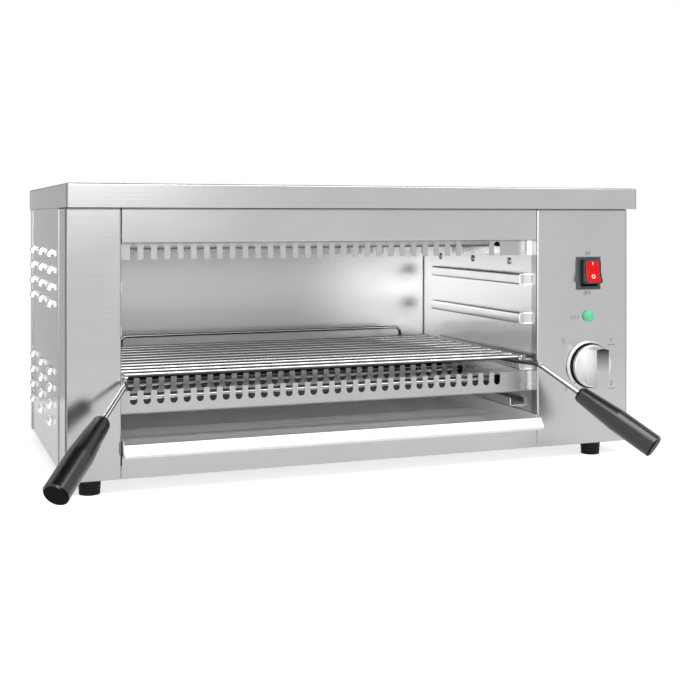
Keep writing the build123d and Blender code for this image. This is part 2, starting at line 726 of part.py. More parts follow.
def rocker_form():
    """Rocker pressed at its top; its lower half is its upper half swung out about the pivot."""
    fold = (ROCKER_FACE, ROCKER_FACE * math.tan(math.radians(ROCKER_SWING) / 2))
    top = (ROCKER_FACE, ROCKER_HALF)
    back = (-ROCKER_BACK, ROCKER_BACK_HALF)
    outline = make_face(Polyline(fold, top, back, swung(back), swung(top), close=True))
    section = Plane(origin=(CONTROL_X, PIVOT_Y, ROCKER_Z), x_dir=OUT, z_dir=(-1, 0, 0))
    form = extrude(section * outline, amount=ROCKER_WIDTH / 2, both=True)
    ends = form.faces().sort_by(Axis.Z)
    corners = [edge for end in (ends[0], ends[-1]) for edge in end.edges() if abs((edge % 0).X) < TOUCH]
    return fillet(corners, ROCKER_CORNER)


def make_rocker_lens():
    """Red window let into the two faces of the rocker."""
    form = rocker_form()
    skin = form - Pos(0, LENS_THICK, 0) * form
    middle = ROCKER_Z + (LENS_UP - LENS_DOWN) / 2
    place = Plane(origin=(CONTROL_X, PIVOT_Y, middle), x_dir=(1, 0, 0), z_dir=OUT)
    outline = RectangleRounded(LENS_WIDTH, LENS_UP + LENS_DOWN, LENS_CORNER)
    return skin & extrude(place * outline, amount=ROCKER_FACE + ROCKER_HALF)


def make_rocker_button():
    half = ROCKER_WIDTH / 2 + ROCKER_PIN_PROUD
    pins = rod((CONTROL_X - half, PIVOT_Y, ROCKER_Z), (1, 0, 0), ROCKER_PIN, half + half)
    return rocker_form() + pins - make_rocker_lens()


def make_rocker_terminals():
    blades = []
    start = FRONT_Y + HOUSING_DEPTH
    for side in (-1, 1):
        for level in (-1, 1):
            x = CONTROL_X + side * BLADE_SPREAD_X / 2
            z = ROCKER_Z + level * BLADE_SPREAD_Z / 2
            blades.append(block((x - BLADE_THICK / 2, start, z - BLADE_WIDTH / 2),
                                (x + BLADE_THICK / 2, start + BLADE_LENGTH, z + BLADE_WIDTH / 2)))
    return blades


# Heat lamp

def make_lamp_lens():
    """Green dome on a rim, with a stem through the panel."""
    rim = LAMP_DIAMETER / 2
    stem = LAMP_STEM / 2
    back = -SHEET - LAMP_SOCKET
    top = LAMP_RIM + LAMP_DOME
    sphere = (rim * rim + LAMP_DOME * LAMP_DOME) / (LAMP_DOME + LAMP_DOME)
    half_angle = math.asin(rim / sphere) / 2
    crown = (sphere * math.sin(half_angle), top - sphere + sphere * math.cos(half_angle))
    face = make_face([
        Polyline((0, top), (0, back), (stem, back), (stem, 0), (rim, 0), (rim, LAMP_RIM)),
        ThreePointArc((rim, LAMP_RIM), crown, (0, top)),
    ])
    place = Plane(origin=(CONTROL_X, FRONT_Y, LAMP_Z), z_dir=OUT)
    return place * revolve(Plane.XZ * face, axis=Axis.Z)


def make_lamp_body():
    inner = FRONT_Y + SHEET
    socket = LAMP_STEM + LAMP_HOLE_FIT + LAMP_HOLE_FIT
    body = rod((CONTROL_X, inner, LAMP_Z), BACK, LAMP_BODY, LAMP_BODY_LENGTH)
    return body - rod((CONTROL_X, inner, LAMP_Z), BACK, socket, LAMP_SOCKET)


# Heat selector and its knob

SKIRT_BASE = FRONT_Y - KNOB_GAP
RING_BASE = SKIRT_BASE - SKIRT_THICK
CAP_BASE = RING_BASE - RING_THICK
GRIP_BASE = CAP_BASE - CAP_THICK
SHAFT_BORE = SHAFT + SHAFT_FIT + SHAFT_FIT


def knob_disc(base, radius, thick, edge):
    """Round knob layer with a chamfered front edge and the shaft bore."""
    bore = SHAFT_BORE / 2
    outline = ((bore, 0), (radius, 0), (radius, thick - edge), (radius - edge, thick), (bore, thick))
    return turned(outline, (CONTROL_X, base, KNOB_Z), OUT)


def make_knob_grip():
    """Bar across the knob, rounded to the knob's circle and drafted."""
    section = Rectangle(KNOB_GRIP_WIDTH, KNOB_GRIP_RADIUS + KNOB_GRIP_RADIUS) & Circle(KNOB_GRIP_RADIUS)
    bar = extrude(section, amount=KNOB_GRIP_HEIGHT, taper=KNOB_GRIP_TAPER)
    bar = fillet(bar.faces().sort_by(Axis.Z)[-1].edges(), KNOB_GRIP_EDGE)
    bar = bar - rod((0, 0, 0), (0, 0, 1), SHAFT_BORE, KNOB_GRIP_BORE)
    return Plane(origin=(CONTROL_X, GRIP_BASE, KNOB_Z), x_dir=(1, 0, 0), z_dir=OUT) * bar


def make_selector_switch():
    inner = FRONT_Y + SHEET
    half = SELECTOR_SIZE / 2
    body = block((CONTROL_X - half, inner, KNOB_Z - half),
                 (CONTROL_X + half, inner + SELECTOR_DEPTH, KNOB_Z + half))
    body = chamfer(body.edges().filter_by(Axis.Y), SELECTOR_EDGE)
    return body - rod((CONTROL_X, inner, KNOB_Z), BACK, SHAFT_BORE, SHAFT_SEAT + SHAFT_END_PLAY)


def make_selector_shaft():
    back = FRONT_Y + SHEET + SHAFT_SEAT
    return rod((CONTROL_X, back, KNOB_Z), OUT, SHAFT, back - GRIP_BASE + KNOB_GRIP_BORE - SHAFT_END_PLAY)


# Supply inside the control side

BLOCK_Y = REAR_Y - BLOCK_SETBACK - BLOCK_DEPTH


def make_terminal_block():
    half = BLOCK_WIDTH / 2
    body = block((GLAND_X - half, BLOCK_Y, FLOOR_Z),
                 (GLAND_X + half, BLOCK_Y + BLOCK_DEPTH, FLOOR_Z + BLOCK_HEIGHT))
    pitch = BLOCK_WIDTH / BLOCK_WAYS
    middle = (BLOCK_WAYS - 1) / 2
    wells = [rod((GLAND_X + (i - middle) * pitch, BLOCK_Y + BLOCK_DEPTH / 2, FLOOR_Z + BLOCK_HEIGHT / 2),
                 (0, 0, 1), BLOCK_WELL, BLOCK_HEIGHT) for i in range(BLOCK_WAYS)]
    return body - wells


def make_wiring():
    """Leads from the terminal block to the switches and on to the heater links."""
    block_front = BLOCK_Y
    blade_y = FRONT_Y + HOUSING_DEPTH + BLADE_LENGTH
    selector_y = FRONT_Y + SHEET + SELECTOR_DEPTH
    link_x = WALL_RIGHT + SHEET + HOLDER_LENGTH + STUD_LENGTH
    lane = blade_y + WIRE_BEND + WIRE_BEND
    upper_blade = ROCKER_Z + BLADE_SPREAD_Z / 2
    lower_blade = ROCKER_Z - BLADE_SPREAD_Z / 2
    right_x = CONTROL_X + BLADE_SPREAD_X / 2
    left_x = CONTROL_X - BLADE_SPREAD_X / 2
    supply_z = FLOOR_Z + BLOCK_HEIGHT / 2
    supply_lane = lane + WIRE_BEND
    supply = [(right_x, block_front, supply_z), (right_x, supply_lane, supply_z),
              (right_x, supply_lane, upper_blade), (right_x, blade_y, upper_blade)]
    switched = [(left_x, blade_y, lower_blade), (left_x, lane, lower_blade),
                (left_x, lane, KNOB_Z), (left_x, selector_y, KNOB_Z)]
    leads = [supply, switched]
    first_tube = TUBE_PLACES[0]
    half = SELECTOR_SIZE / 4
    for z, level in ((UPPER_TUBE_Z, 1), (LOWER_TUBE_Z, -1)):
        x = CONTROL_X - half
        start_z = KNOB_Z + level * half
        turn_y = selector_y + WIRE_BEND + WIRE_BEND
        leads.append([(x, selector_y, start_z), (x, turn_y, start_z),
                      (x, first_tube, z), (link_x, first_tube, z)])
    return [wire(points, WIRE_BEND, WIRE) for points in leads]


def make_cable_gland():
    inner_end = -SHEET - GLAND_THREAD
    bore = GLAND_BORE / 2
    outline = ((bore, inner_end), (GLAND_BODY / 2, inner_end), (GLAND_BODY / 2, 0), (GLAND_FLANGE / 2, 0),
               (GLAND_FLANGE / 2, GLAND_FLANGE_THICK), (GLAND_COLLAR / 2, GLAND_FLANGE_THICK),
               (GLAND_COLLAR / 2, GLAND_PROUD), (bore, GLAND_PROUD))
    return turned(outline, (GLAND_X, REAR_Y, GLAND_Z), BACK)


def make_gland_nut():
    face = RegularPolygon(GLAND_FLANGE / 2, 6) - Circle(GLAND_BODY / 2 + GLAND_FIT)
    return extrude(Plane(origin=(GLAND_X, REAR_Y - SHEET, GLAND_Z), z_dir=OUT) * face, amount=GLAND_NUT_THICK)


# Rack with its handles

def make_wire_rack():
    width = RACK_RIGHT - RACK_LEFT
    rods = [rod((RACK_LEFT, RACK_FRONT + i * RACK_PITCH, RACK_Z), (1, 0, 0), ROD, width)
            for i in range(RACK_RODS)]
    length = RACK_REAR - RACK_FRONT + ROD_OVERHANG + ROD_OVERHANG
    sides = [rod((x, RACK_FRONT - ROD_OVERHANG, RACK_Z), BACK, SIDE_ROD, length)
             for x in (RACK_LEFT, RACK_RIGHT)]
    return sides[0] + sides[1] + rods


def make_back_stop():
    """Wire loop that stands on the rear rod."""
    half = (RACK_RIGHT - RACK_LEFT) / 2 - BACK_STOP_INSET
    top = RACK_Z + BACK_STOP_RISE
    points = [(CAVITY_X - half, RACK_REAR, RACK_Z), (CAVITY_X - half, RACK_REAR, top),
              (CAVITY_X + half, RACK_REAR, top), (CAVITY_X + half, RACK_REAR, RACK_Z)]
    seat = rod((RACK_LEFT, RACK_REAR, RACK_Z), (1, 0, 0), ROD, RACK_RIGHT - RACK_LEFT)
    loop = wire(points, BACK_STOP_BEND, ROD) - seat
    return loop.solids().sort_by(SortBy.VOLUME)[-1]


def handle_line(side):
    """Unit direction and near end of a grip; side is -1 on the left and 1 on the right."""
    splay = math.radians(HANDLE_SPLAY)
    drop = math.radians(HANDLE_DROP)
    direction = Vector(side * math.cos(drop) * math.sin(splay),
                       -math.cos(drop) * math.cos(splay), -math.sin(drop))
    near = Vector(CAVITY_X + side * GRIP_SPREAD, FRONT_Y - GRIP_REACH, GRIP_Z)
    return direction, near


def make_handle_rod(side):
    """Bent rod: a leg under the two front rods, then down and out into the grip."""
    direction, near = handle_line(side)
    leg_z = RACK_Z - ROD / 2 - HANDLE_ROD / 2 - HANDLE_WELD_GAP
    elbow = near + direction * ((leg_z - GRIP_Z) / direction.Z)
    leg_y = RACK_FRONT + RACK_PITCH + LEG_OVERRUN
    leg_x = elbow.X - side * (leg_y - elbow.Y) * math.tan(math.radians(HANDLE_TOE))
    end = near + direction * (GRIP_BORE_DEPTH - GRIP_FIT)
    return wire([(leg_x, leg_y, leg_z), tuple(elbow), tuple(end)], HANDLE_BEND, HANDLE_ROD)


def make_grip(side):
    """Tapered grip with a rounded cap and a blind bore for the rod."""
    direction, near = handle_line(side)
    neck = GRIP_NECK / 2
    full = GRIP_DIAMETER / 2
    bore = HANDLE_ROD / 2 + GRIP_FIT
    curve = GRIP_SHOULDER * GRIP_SHOULDER_SHARE
    outline = ((bore, 0), (neck - GRIP_SHOULDER, 0), (neck - curve, curve), (neck, GRIP_SHOULDER),
               (full, GRIP_LENGTH * GRIP_TAPER_SHARE),
               (full, GRIP_LENGTH - GRIP_EDGE), (full - GRIP_EDGE, GRIP_LENGTH), (0, GRIP_LENGTH),
               (0, GRIP_BORE_DEPTH), (bore, GRIP_BORE_DEPTH))
    return turned(outline, near, direction)


# Crumb tray

def make_crumb_tray():
    """Shallow pan, open in front, whose floor runs out under a lip that leans back."""
    wall_front = FRONT_Y - TRAY_WALL_SETBACK
    tray = pan((TRAY_LEFT, wall_front, TRAY_Z), (TRAY_RIGHT, WALL_REAR - TRAY_REAR_PLAY, TRAY_Z + TRAY_WALL),
               ("top", "front"))
    lip_y = FRONT_Y - TRAY_REACH
    top_z = TRAY_Z + TRAY_LIP_RISE
    lip_top = lip_y + TRAY_LIP_LEAN
    nose_y = lip_y + TRAY_NOSE
    nose_z = TRAY_Z + TRAY_NOSE
    section = make_face(Polyline((wall_front, TRAY_Z), (nose_y, TRAY_Z), (lip_y, nose_z), (lip_top, top_z),
                                 (lip_top + SHEET, top_z), (lip_y + SHEET, nose_z),
                                 (nose_y, TRAY_Z + SHEET), (wall_front, TRAY_Z + SHEET), close=True))
    lip_left = TRAY_LEFT - TRAY_LIP_OUTSET
    lip_right = TRAY_RIGHT + TRAY_LIP_OUTSET
    side_face = Plane(origin=(lip_left, 0, 0), x_dir=BACK, z_dir=(1, 0, 0))
    return tray + extrude(side_face * section, amount=lip_right - lip_left)


# Feet

def make_foot(x, y):
    """Tapered rubber foot with grooves round it and a well for its screw."""
    top = FOOT_TOP / 2
    bottom = FOOT_BOTTOM / 2
    hole = FOOT_HOLE / 2
    well = FOOT_WELL / 2
    outline = [(well, 0), (bottom, 0)]
    half_groove = FOOT_HEIGHT * FOOT_GROOVE_SHARE / 2
    for i in range(FOOT_GROOVES):
        height = FOOT_HEIGHT * (i + 1) / (FOOT_GROOVES + 1)
        radius = bottom + (top - bottom) * height / FOOT_HEIGHT
        outline += [(radius, height - half_groove), (radius - FOOT_GROOVE, height),
                    (radius, height + half_groove)]
    outline += [(top, FOOT_HEIGHT), (hole, FOOT_HEIGHT), (hole, FOOT_WELL_DEPTH), (well, FOOT_WELL_DEPTH)]
    return turned(outline, (x, y, 0), (0, 0, 1))


def make_foot_screw(x, y):
    return screw((x, y, FOOT_WELL_DEPTH), (0, 0, 1), FOOT_SCREW, FOOT_SCREW_HEAD,
                 FOOT_SCREW_HEAD_THICK, FOOT_SCREW_LENGTH)


# Every piece by its name; a list is a group of identical loose solids

left_side_panel = make_side_panel()
pieces = {
    "top_cover": make_top_cover(),
    "cover_screws": make_cover_screws(),
    "left_side_panel": left_side_panel,
    "right_side_panel": mirror(left_side_panel, about=Plane.YZ),
    "rear_panel": make_rear_panel(),
    "base_pan": make_base_pan(),
    "left_front_panel": make_left_front_panel(),
    "control_panel": make_control_panel(),
    "upper_fascia": make_upper_fascia(),
    "lower_apron": make_lower_apron(),
    "cavity_left_wall": make_cavity_left_wall(),
    "cavity_right_wall": make_cavity_right_wall(),
    "cavity_rear_wall": make_cavity_rear_wall(),
    "ceiling_reflector": make_ceiling_reflector(),
    "left_shelf_rails": make_shelf_rails(WALL_LEFT, 1),
    "right_shelf_rails": make_shelf_rails(WALL_RIGHT, -1),
    "left_tray_runner": make_tray_runner(WALL_LEFT, 1),
    "right_tray_runner": make_tray_runner(WALL_RIGHT, -1),
    "upper_front_comb": make_upper_comb(0),
    "upper_rear_comb": make_upper_comb(1),
    "lower_front_comb": make_lower_comb(0),
    "lower_rear_comb": make_lower_comb(1),
    "heating_coils": [make_coil(y, z) for y in TUBE_PLACES for z in (UPPER_TUBE_Z, LOWER_TUBE_Z)],
    "tube_holders": [make_holder(*end) for end in tube_ends()],
    "holder_screws": make_holder_screws(),
    "tube_studs": [make_stud(*end) for end in tube_ends()],
    "element_links": make_element_links(),
    "rocker_housing": make_rocker_housing(),
    "rocker_terminals": make_rocker_terminals(),
    "rocker_button": make_rocker_button(),
    "rocker_lens": make_rocker_lens(),
    "lamp_lens": make_lamp_lens(),
    "lamp_body": make_lamp_body(),
    "selector_switch": make_selector_switch(),
    "selector_shaft": make_selector_shaft(),
    "knob_skirt": knob_disc(SKIRT_BASE, SKIRT_RADIUS, SKIRT_THICK, SKIRT_EDGE),
    "knob_ring": knob_disc(RING_BASE, RING_RADIUS, RING_THICK, SKIRT_EDGE),
    "knob_cap": knob_disc(CAP_BASE, CAP_RADIUS, CAP_THICK, CAP_EDGE),
    "knob_grip": make_knob_grip(),
    "terminal_block": make_terminal_block(),
    "wiring": make_wiring(),
    "cable_gland": make_cable_gland(),
    "gland_nut": make_gland_nut(),
    "wire_rack": make_wire_rack(),
    "rack_back_stop": make_back_stop(),
    "left_handle_rod": make_handle_rod(-1),
    "right_handle_rod": make_handle_rod(1),
    "left_grip": make_grip(-1),
    "right_grip": make_grip(1),
    "crumb_tray": make_crumb_tray(),
    "feet": [make_foot(x, y) for x, y in FOOT_PLACES],
    "foot_screws": [make_foot_screw(x, y) for x, y in FOOT_PLACES],
}
for number, place in enumerate(TUBE_PLACES, start=1):
    pieces[f"upper_tube_{number}"] = make_tube(place, UPPER_TUBE_Z)
    pieces[f"lower_tube_{number}"] = make_tube(place, LOWER_TUBE_Z)

os.makedirs("parts", exist_ok=True)
for name, piece in pieces.items():
    shape = Compound(children=piece) if isinstance(piece, list) else piece
    export_step(shape, f"parts/{name}.step")
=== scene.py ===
# %% [markdown]
# # Dressing a salamander grill
# A salamander is a countertop grill: heater tubes above and below an open cavity, a wire rack that slides
# out on two splayed handles, and a crumb tray underneath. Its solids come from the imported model, already at
# their real size and place, so this lesson never moves them. It adds what the solids leave out: the finish
# of each surface, the printed marks, the drive recesses of the screws and the welds of the rack. The dial and
# the shelf rails are plain in the solids, so they are drawn anew, with their slopes and thin edges.

# %% Load the frame
import json
import math

import bpy
import numpy as np
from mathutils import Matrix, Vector


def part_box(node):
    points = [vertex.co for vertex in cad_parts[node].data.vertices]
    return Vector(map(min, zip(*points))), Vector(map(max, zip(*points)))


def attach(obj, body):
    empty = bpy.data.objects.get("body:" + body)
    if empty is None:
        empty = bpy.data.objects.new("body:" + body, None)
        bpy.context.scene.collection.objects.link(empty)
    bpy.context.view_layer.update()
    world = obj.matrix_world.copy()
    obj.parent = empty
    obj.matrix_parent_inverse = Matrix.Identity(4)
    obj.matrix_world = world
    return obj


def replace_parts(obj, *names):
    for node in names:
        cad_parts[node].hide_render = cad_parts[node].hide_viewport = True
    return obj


MM = 0.001

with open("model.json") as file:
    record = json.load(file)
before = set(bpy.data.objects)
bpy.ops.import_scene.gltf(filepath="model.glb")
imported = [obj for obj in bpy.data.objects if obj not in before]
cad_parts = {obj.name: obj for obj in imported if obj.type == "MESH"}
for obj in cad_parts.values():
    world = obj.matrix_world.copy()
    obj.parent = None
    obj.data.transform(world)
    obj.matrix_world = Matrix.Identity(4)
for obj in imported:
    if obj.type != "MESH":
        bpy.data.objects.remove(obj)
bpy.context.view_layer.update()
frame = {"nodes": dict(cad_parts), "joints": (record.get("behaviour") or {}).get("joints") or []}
nodes = frame["nodes"]


# %% Places from the frame
def middle_mm(name, axis):
    """Middle of a node's box at rest along an axis, 0 to 2 for X to Z, in millimetres."""
    low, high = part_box(name)
    return (low[axis] + high[axis]) / 2 / MM


panel_low, panel_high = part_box("control_panel")
cover_low, cover_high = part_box("top_cover")
hinges = {joint["name"]: joint for joint in frame["joints"] if joint["type"] == "hinge"}
WALLS = (
    ("left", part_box("left_shelf_rails")[0][0] / MM, 1),
    ("right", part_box("right_shelf_rails")[1][0] / MM, -1),
)
print("cavity walls at", [round(wall, 2) for _, wall, _ in WALLS], "mm")

# %% [markdown]
# ## Where the camera stands
# The photograph looks level, from a little under the height of the cover, with the front turned about
# twenty degrees. The horizon lies above the middle of the picture, which a view camera does by shifting
# its lens and not by tilting. So the upright edges stay upright, and `shift_y` does the same here.

# %% Camera
PICTURE = 680
FOCAL_PIXELS = 1169.0
HORIZON_ROW = 218.5
SENSOR = 36.0
CAMERA_PLACE = (-0.44215, -1.24475, 0.25733)
CAMERA_YAW = math.radians(20.43)

camera_data = bpy.data.cameras.new("camera")
camera_data.sensor_width = SENSOR
camera_data.lens = FOCAL_PIXELS * SENSOR / PICTURE
camera_data.shift_y = (HORIZON_ROW - PICTURE / 2) / PICTURE
camera = bpy.data.objects.new("camera", camera_data)
camera.location = CAMERA_PLACE
camera.rotation_euler = (math.pi / 2, 0, -CAMERA_YAW)
bpy.context.scene.collection.objects.link(camera)
bpy.context.scene.camera = camera
bpy.context.scene.view_settings.view_transform = "Standard"
print("camera lens", round(camera_data.lens, 2), "mm, shift", round(camera_data.shift_y, 4))

# %% [markdown]
# ## Small helpers for node trees
# Every finish below is a tree of nodes. A few short functions keep those trees readable: one makes a node
# and fills in its sockets, one starts a group with named sockets, two start a material, and the rest stand
# for the nodes that turn up most: a group's mask, arithmetic, a ramp between two values, the point's own
# place, the parts of a vector and the blend of two colours.

# %% Node helpers
def fill_socket(tree, socket, value):
    """Links another node's output to the socket, or sets a plain value on it."""
    if isinstance(value, bpy.types.NodeSocket):
        tree.links.new(value, socket)
    else:
        socket.default_value = value


def add_node(tree, kind, inputs=None, **settings):
    """Makes a node, sets its properties and then fills its inputs."""
    node = tree.nodes.new(kind)
    for name, value in settings.items():
        setattr(node, name, value)
    for name, value in (inputs or {}).items():
        fill_socket(tree, node.inputs[name], value)
    return node


def start_group(name, inputs, outputs):
    """A shader group with (socket name, type, default) inputs and (socket name, type) outputs."""
    tree = bpy.data.node_groups.new(name, "ShaderNodeTree")
    for label, kind, value in inputs:
        tree.interface.new_socket(label, in_out="INPUT", socket_type=kind).default_value = value
    for label, kind in outputs:
        tree.interface.new_socket(label, in_out="OUTPUT", socket_type=kind)
    return tree, add_node(tree, "NodeGroupInput"), add_node(tree, "NodeGroupOutput")


def start_material(name):
    """A material with its Principled shader and nothing else set."""
    material = bpy.data.materials.new(name)
    material.use_nodes = True
    return material, material.node_tree, material.node_tree.nodes["Principled BSDF"]


def start_bare_material(name):
    """A material whose tree is empty, for the surfaces of the studio."""
    material, tree, _ = start_material(name)
    tree.nodes.clear()
    return material, tree


def mask_of(tree, group, **inputs):
    """Places a one-output group in a material, sets its inputs and gives its mask."""
    node = add_node(tree, "ShaderNodeGroup", node_tree=bpy.data.node_groups[group])
    for label, value in inputs.items():
        node.inputs[label].default_value = value
    return node.outputs[0]


def maths(tree, operation, first, second, third=0.0):
    """Output of one Math node; each argument is a socket or a number."""
    return add_node(tree, "ShaderNodeMath", {0: first, 1: second, 2: third}, operation=operation).outputs[0]


def ramp(tree, value, start, full, top=1.0, **settings):
    """Output that goes from 0 to the top as the value goes from start to full."""
    inputs = {"Value": value, "From Min": start, "From Max": full, "To Max": top}
    return add_node(tree, "ShaderNodeMapRange", inputs, **settings).outputs["Result"]


def object_place(tree):
    """The point's place in Object coordinates."""
    return add_node(tree, "ShaderNodeTexCoord").outputs["Object"]


def split(tree, vector):
    """The X, Y and Z outputs of a vector."""
    return add_node(tree, "ShaderNodeSeparateXYZ", {0: vector}).outputs


def blend(tree, factor, first, second):
    """Colour that goes from the first to the second as the factor goes from 0 to 1."""
    node = add_node(tree, "ShaderNodeMix", data_type="RGBA")
    for socket, value in zip((node.inputs[0], node.inputs[6], node.inputs[7]), (factor, first, second)):
        fill_socket(tree, socket, (*value, 1.0) if isinstance(value, tuple) else value)
    return node.outputs[2]


print("node helpers ready")

# %% [markdown]
# ## The studio
# Polished steel shows the room more than itself, so the room comes first. The surround is white: the Light
# Path node lets camera, glossy and transmission rays see it at full white, while diffuse rays get a lower
# fill, so that colours are lit at a plain level. Only high up, round the overhead lamp, reflections find the
# room dark, as a studio is. That gives wires and black grips their dark cores.

# %% Surround
FILL = 0.42
DARK_FROM, DARK_TO, DARK_LOSS = 0.72, 0.88, 0.96


def seen_by_eye(tree):
    """1 for camera, glossy and transmission rays and 0 for the rest."""
    path = add_node(tree, "ShaderNodeLightPath")
    mirror = maths(tree, "MAXIMUM", path.outputs["Is Glossy Ray"], path.outputs["Is Transmission Ray"])
    return maths(tree, "MAXIMUM", path.outputs["Is Camera Ray"], mirror)


world = bpy.data.worlds.new("white_surround")
world.use_nodes = True
bpy.context.scene.world = world
tree = world.node_tree
surround = tree.nodes["Background"]
surround.inputs["Color"].default_value = (1.0, 1.0, 1.0, 1.0)
level = maths(tree, "MULTIPLY_ADD", seen_by_eye(tree), 1.0 - FILL, FILL)
way = split(tree, add_node(tree, "ShaderNodeTexCoord").outputs["Generated"])
dark = ramp(tree, way["Z"], DARK_FROM, DARK_TO, DARK_LOSS)
mirrored = add_node(tree, "ShaderNodeLightPath").outputs["Is Glossy Ray"]
loss = maths(tree, "MULTIPLY", dark, mirrored)
fill_socket(tree, surround.inputs["Strength"], maths(tree, "SUBTRACT", level, loss))
print("surround fill", FILL)

# %% [markdown]
# ## Soft boxes
# An area lamp of a given radiance takes more watts the larger it is. Working from the radiance keeps the
# reflections predictable: a soft box of radiance 2 shows as twice white in a perfect mirror. One hangs
# overhead and to the front, which whitens every face that leans back. One stands behind the camera and
# lights the left of the front. A low one at the left shines into the cavity, where the right wall and the
# rear wall together send it straight back to the camera.

# %% Lamps
MIDDLE = Vector((0.0, 0.0, 0.14))


def soft_box(name, place, size, radiance):
    """Rectangular area lamp at a place, facing the middle; watts are radiance times pi times area."""
    lamp = bpy.data.lights.new(name, "AREA")
    lamp.shape = "RECTANGLE"
    lamp.size, lamp.size_y = size
    lamp.energy = radiance * math.pi * size[0] * size[1]
    holder = bpy.data.objects.new(name, lamp)
    holder.location = place
    holder.rotation_euler = (MIDDLE - Vector(place)).to_track_quat("-Z", "Y").to_euler()
    bpy.context.scene.collection.objects.link(holder)


soft_box("overhead_box", place=(0.25, -1.1, 1.8), size=(2.2, 0.5), radiance=6.5)
soft_box("camera_box", place=(-0.35, -2.6, 0.84), size=(1.5, 1.0), radiance=1.8)
soft_box("cavity_box", place=(-1.12, -2.3, 0.32), size=(1.1, 0.64), radiance=4.4)
print("three soft boxes")

# %% [markdown]
# ## The floor and three cards
# The floor is a pale sweep that turns pure white away from the grill. Near the grill it is an ordinary
# diffuse floor with a small glow, so the shadow under the feet stays; further out it blends into the white
# surround. The side panel is seen so flat that it mirrors whatever stands behind it at the left. A
# photographer puts a grey card there to keep a steel side from burning out, a dark strip further back to draw
# a fine line along folds that face up, and a bright card on the floor to fill the louvres from below. So does
# this scene, and the cards only show in reflections.

# %% Floor
FLOOR_HALF = 4.0
FLOOR_NEAR = 0.5
FLOOR_FAR = 1.3
FLOOR_GREY = 0.82
FLOOR_GLOW = 0.62
MIRROR_GLOW = 0.37


def stage_sheet(name, corners, material):
    """One flat four-cornered sheet that belongs to the studio."""
    mesh = bpy.data.meshes.new(name)
    mesh.from_pydata(np.asarray(corners, float).tolist(), [], [(0, 1, 2, 3)])
    mesh.materials.append(material)
    sheet = bpy.data.objects.new(name, mesh)
    bpy.context.scene.collection.objects.link(sheet)
    return sheet


floor_paint, tree = start_bare_material("pale_floor")
reach = add_node(tree, "ShaderNodeVectorMath", {0: object_place(tree)}, operation="LENGTH").outputs["Value"]
away = ramp(tree, reach, FLOOR_NEAR, FLOOR_FAR)
seen = seen_by_eye(tree)
white = add_node(tree, "ShaderNodeEmission", {"Strength": 1.0})
paint = add_node(tree, "ShaderNodeBsdfDiffuse", {"Color": (FLOOR_GREY, FLOOR_GREY, FLOOR_GREY, 1.0)})
first_hit = add_node(tree, "ShaderNodeLightPath").outputs["Is Camera Ray"]
direct = maths(tree, "MULTIPLY", first_hit, FLOOR_GLOW - MIRROR_GLOW)
level = maths(tree, "MULTIPLY_ADD", seen, MIRROR_GLOW, direct)
glow = add_node(tree, "ShaderNodeEmission", {"Strength": level})
near = add_node(tree, "ShaderNodeAddShader", {0: paint.outputs[0], 1: glow.outputs[0]})
mix = maths(tree, "MULTIPLY", seen, away)
mixed = add_node(tree, "ShaderNodeMixShader", {0: mix, 1: near.outputs[0], 2: white.outputs[0]})
add_node(tree, "ShaderNodeOutputMaterial", {"Surface": mixed.outputs[0]})
stage_sheet("floor", FLOOR_HALF * np.array([(-1, -1, 0), (1, -1, 0), (1, 1, 0), (-1, 1, 0)]), floor_paint)
print("floor", 2 * FLOOR_HALF, "m wide")


# %% Cards
def card(name, low, high, shade):
    """Flat card that only reflections show, between two opposite corners; it stands where they differ in
    height and lies flat where they don't."""
    paint, tree = start_bare_material(name)
    even = add_node(tree, "ShaderNodeEmission", {"Color": (shade, shade, shade, 1.0), "Strength": 1.0})
    add_node(tree, "ShaderNodeOutputMaterial", {"Surface": even.outputs[0]})
    (left, near, bottom), (right, far, top) = low, high
    corners = [(left, near, bottom), (right, near, bottom), (right, far, top), (left, far, top)]
    sheet = stage_sheet(name, corners, paint)
    sheet.visible_camera = sheet.visible_diffuse = sheet.visible_shadow = sheet.visible_transmission = False


card("side_card", low=(-0.75, 0.45, 0.0), high=(-0.325, 0.45, 0.55), shade=0.56)
card("dark_strip", low=(-1.0, 2.0, 0.37), high=(2.0, 2.0, 0.62), shade=0.03)
card("bounce_card", low=(-1.9, -1.7, 0.002), high=(-0.5, -0.35, 0.002), shade=1.25)
print("three cards")

# %% [markdown]
# ## Shared effects
# Six effects turn up in more than one finish, so each is a group made once: the brushing lines of rolled
# steel, the faint marks of hands and cloths, the line along edges that most finishes wear bright and the
# casing takes as a painted shade, the bend at an upright corner of the casing, which takes a painted shade,
# the fine skin of moulded plastic, and a painted shade on faces that look down, under wires and tubes. Each
# group only puts out a mask that changes over the surface.

# %% Brushing lines
ALONG_X = (8.0, 900.0, 900.0)
ALONG_Y = (900.0, 8.0, 900.0)

tree, given, result = start_group(
    "brushing_lines", [("Scale", "NodeSocketVector", ALONG_X)], [("Lines", "NodeSocketFloat")])
stretched = add_node(tree, "ShaderNodeVectorMath",
                     {0: object_place(tree), 1: given.outputs["Scale"]}, operation="MULTIPLY")
lines = add_node(tree, "ShaderNodeTexNoise", {"Vector": stretched.outputs[0], "Scale": 1.0, "Detail": 3.0})
tree.links.new(lines.outputs["Fac"], result.inputs["Lines"])
print("group", tree.name)

# %% Handling marks
tree, given, result = start_group(
    "handling_marks", [("Scale", "NodeSocketFloat", 9.0)], [("Marks", "NodeSocketFloat")])
clouds = add_node(tree, "ShaderNodeTexNoise", {
    "Vector": object_place(tree), "Scale": given.outputs["Scale"], "Detail": 4.0, "Distortion": 0.6})
spread = ramp(tree, clouds.outputs["Fac"], 0.35, 0.7, interpolation_type="SMOOTHSTEP")
tree.links.new(spread, result.inputs["Marks"])
print("group", tree.name)
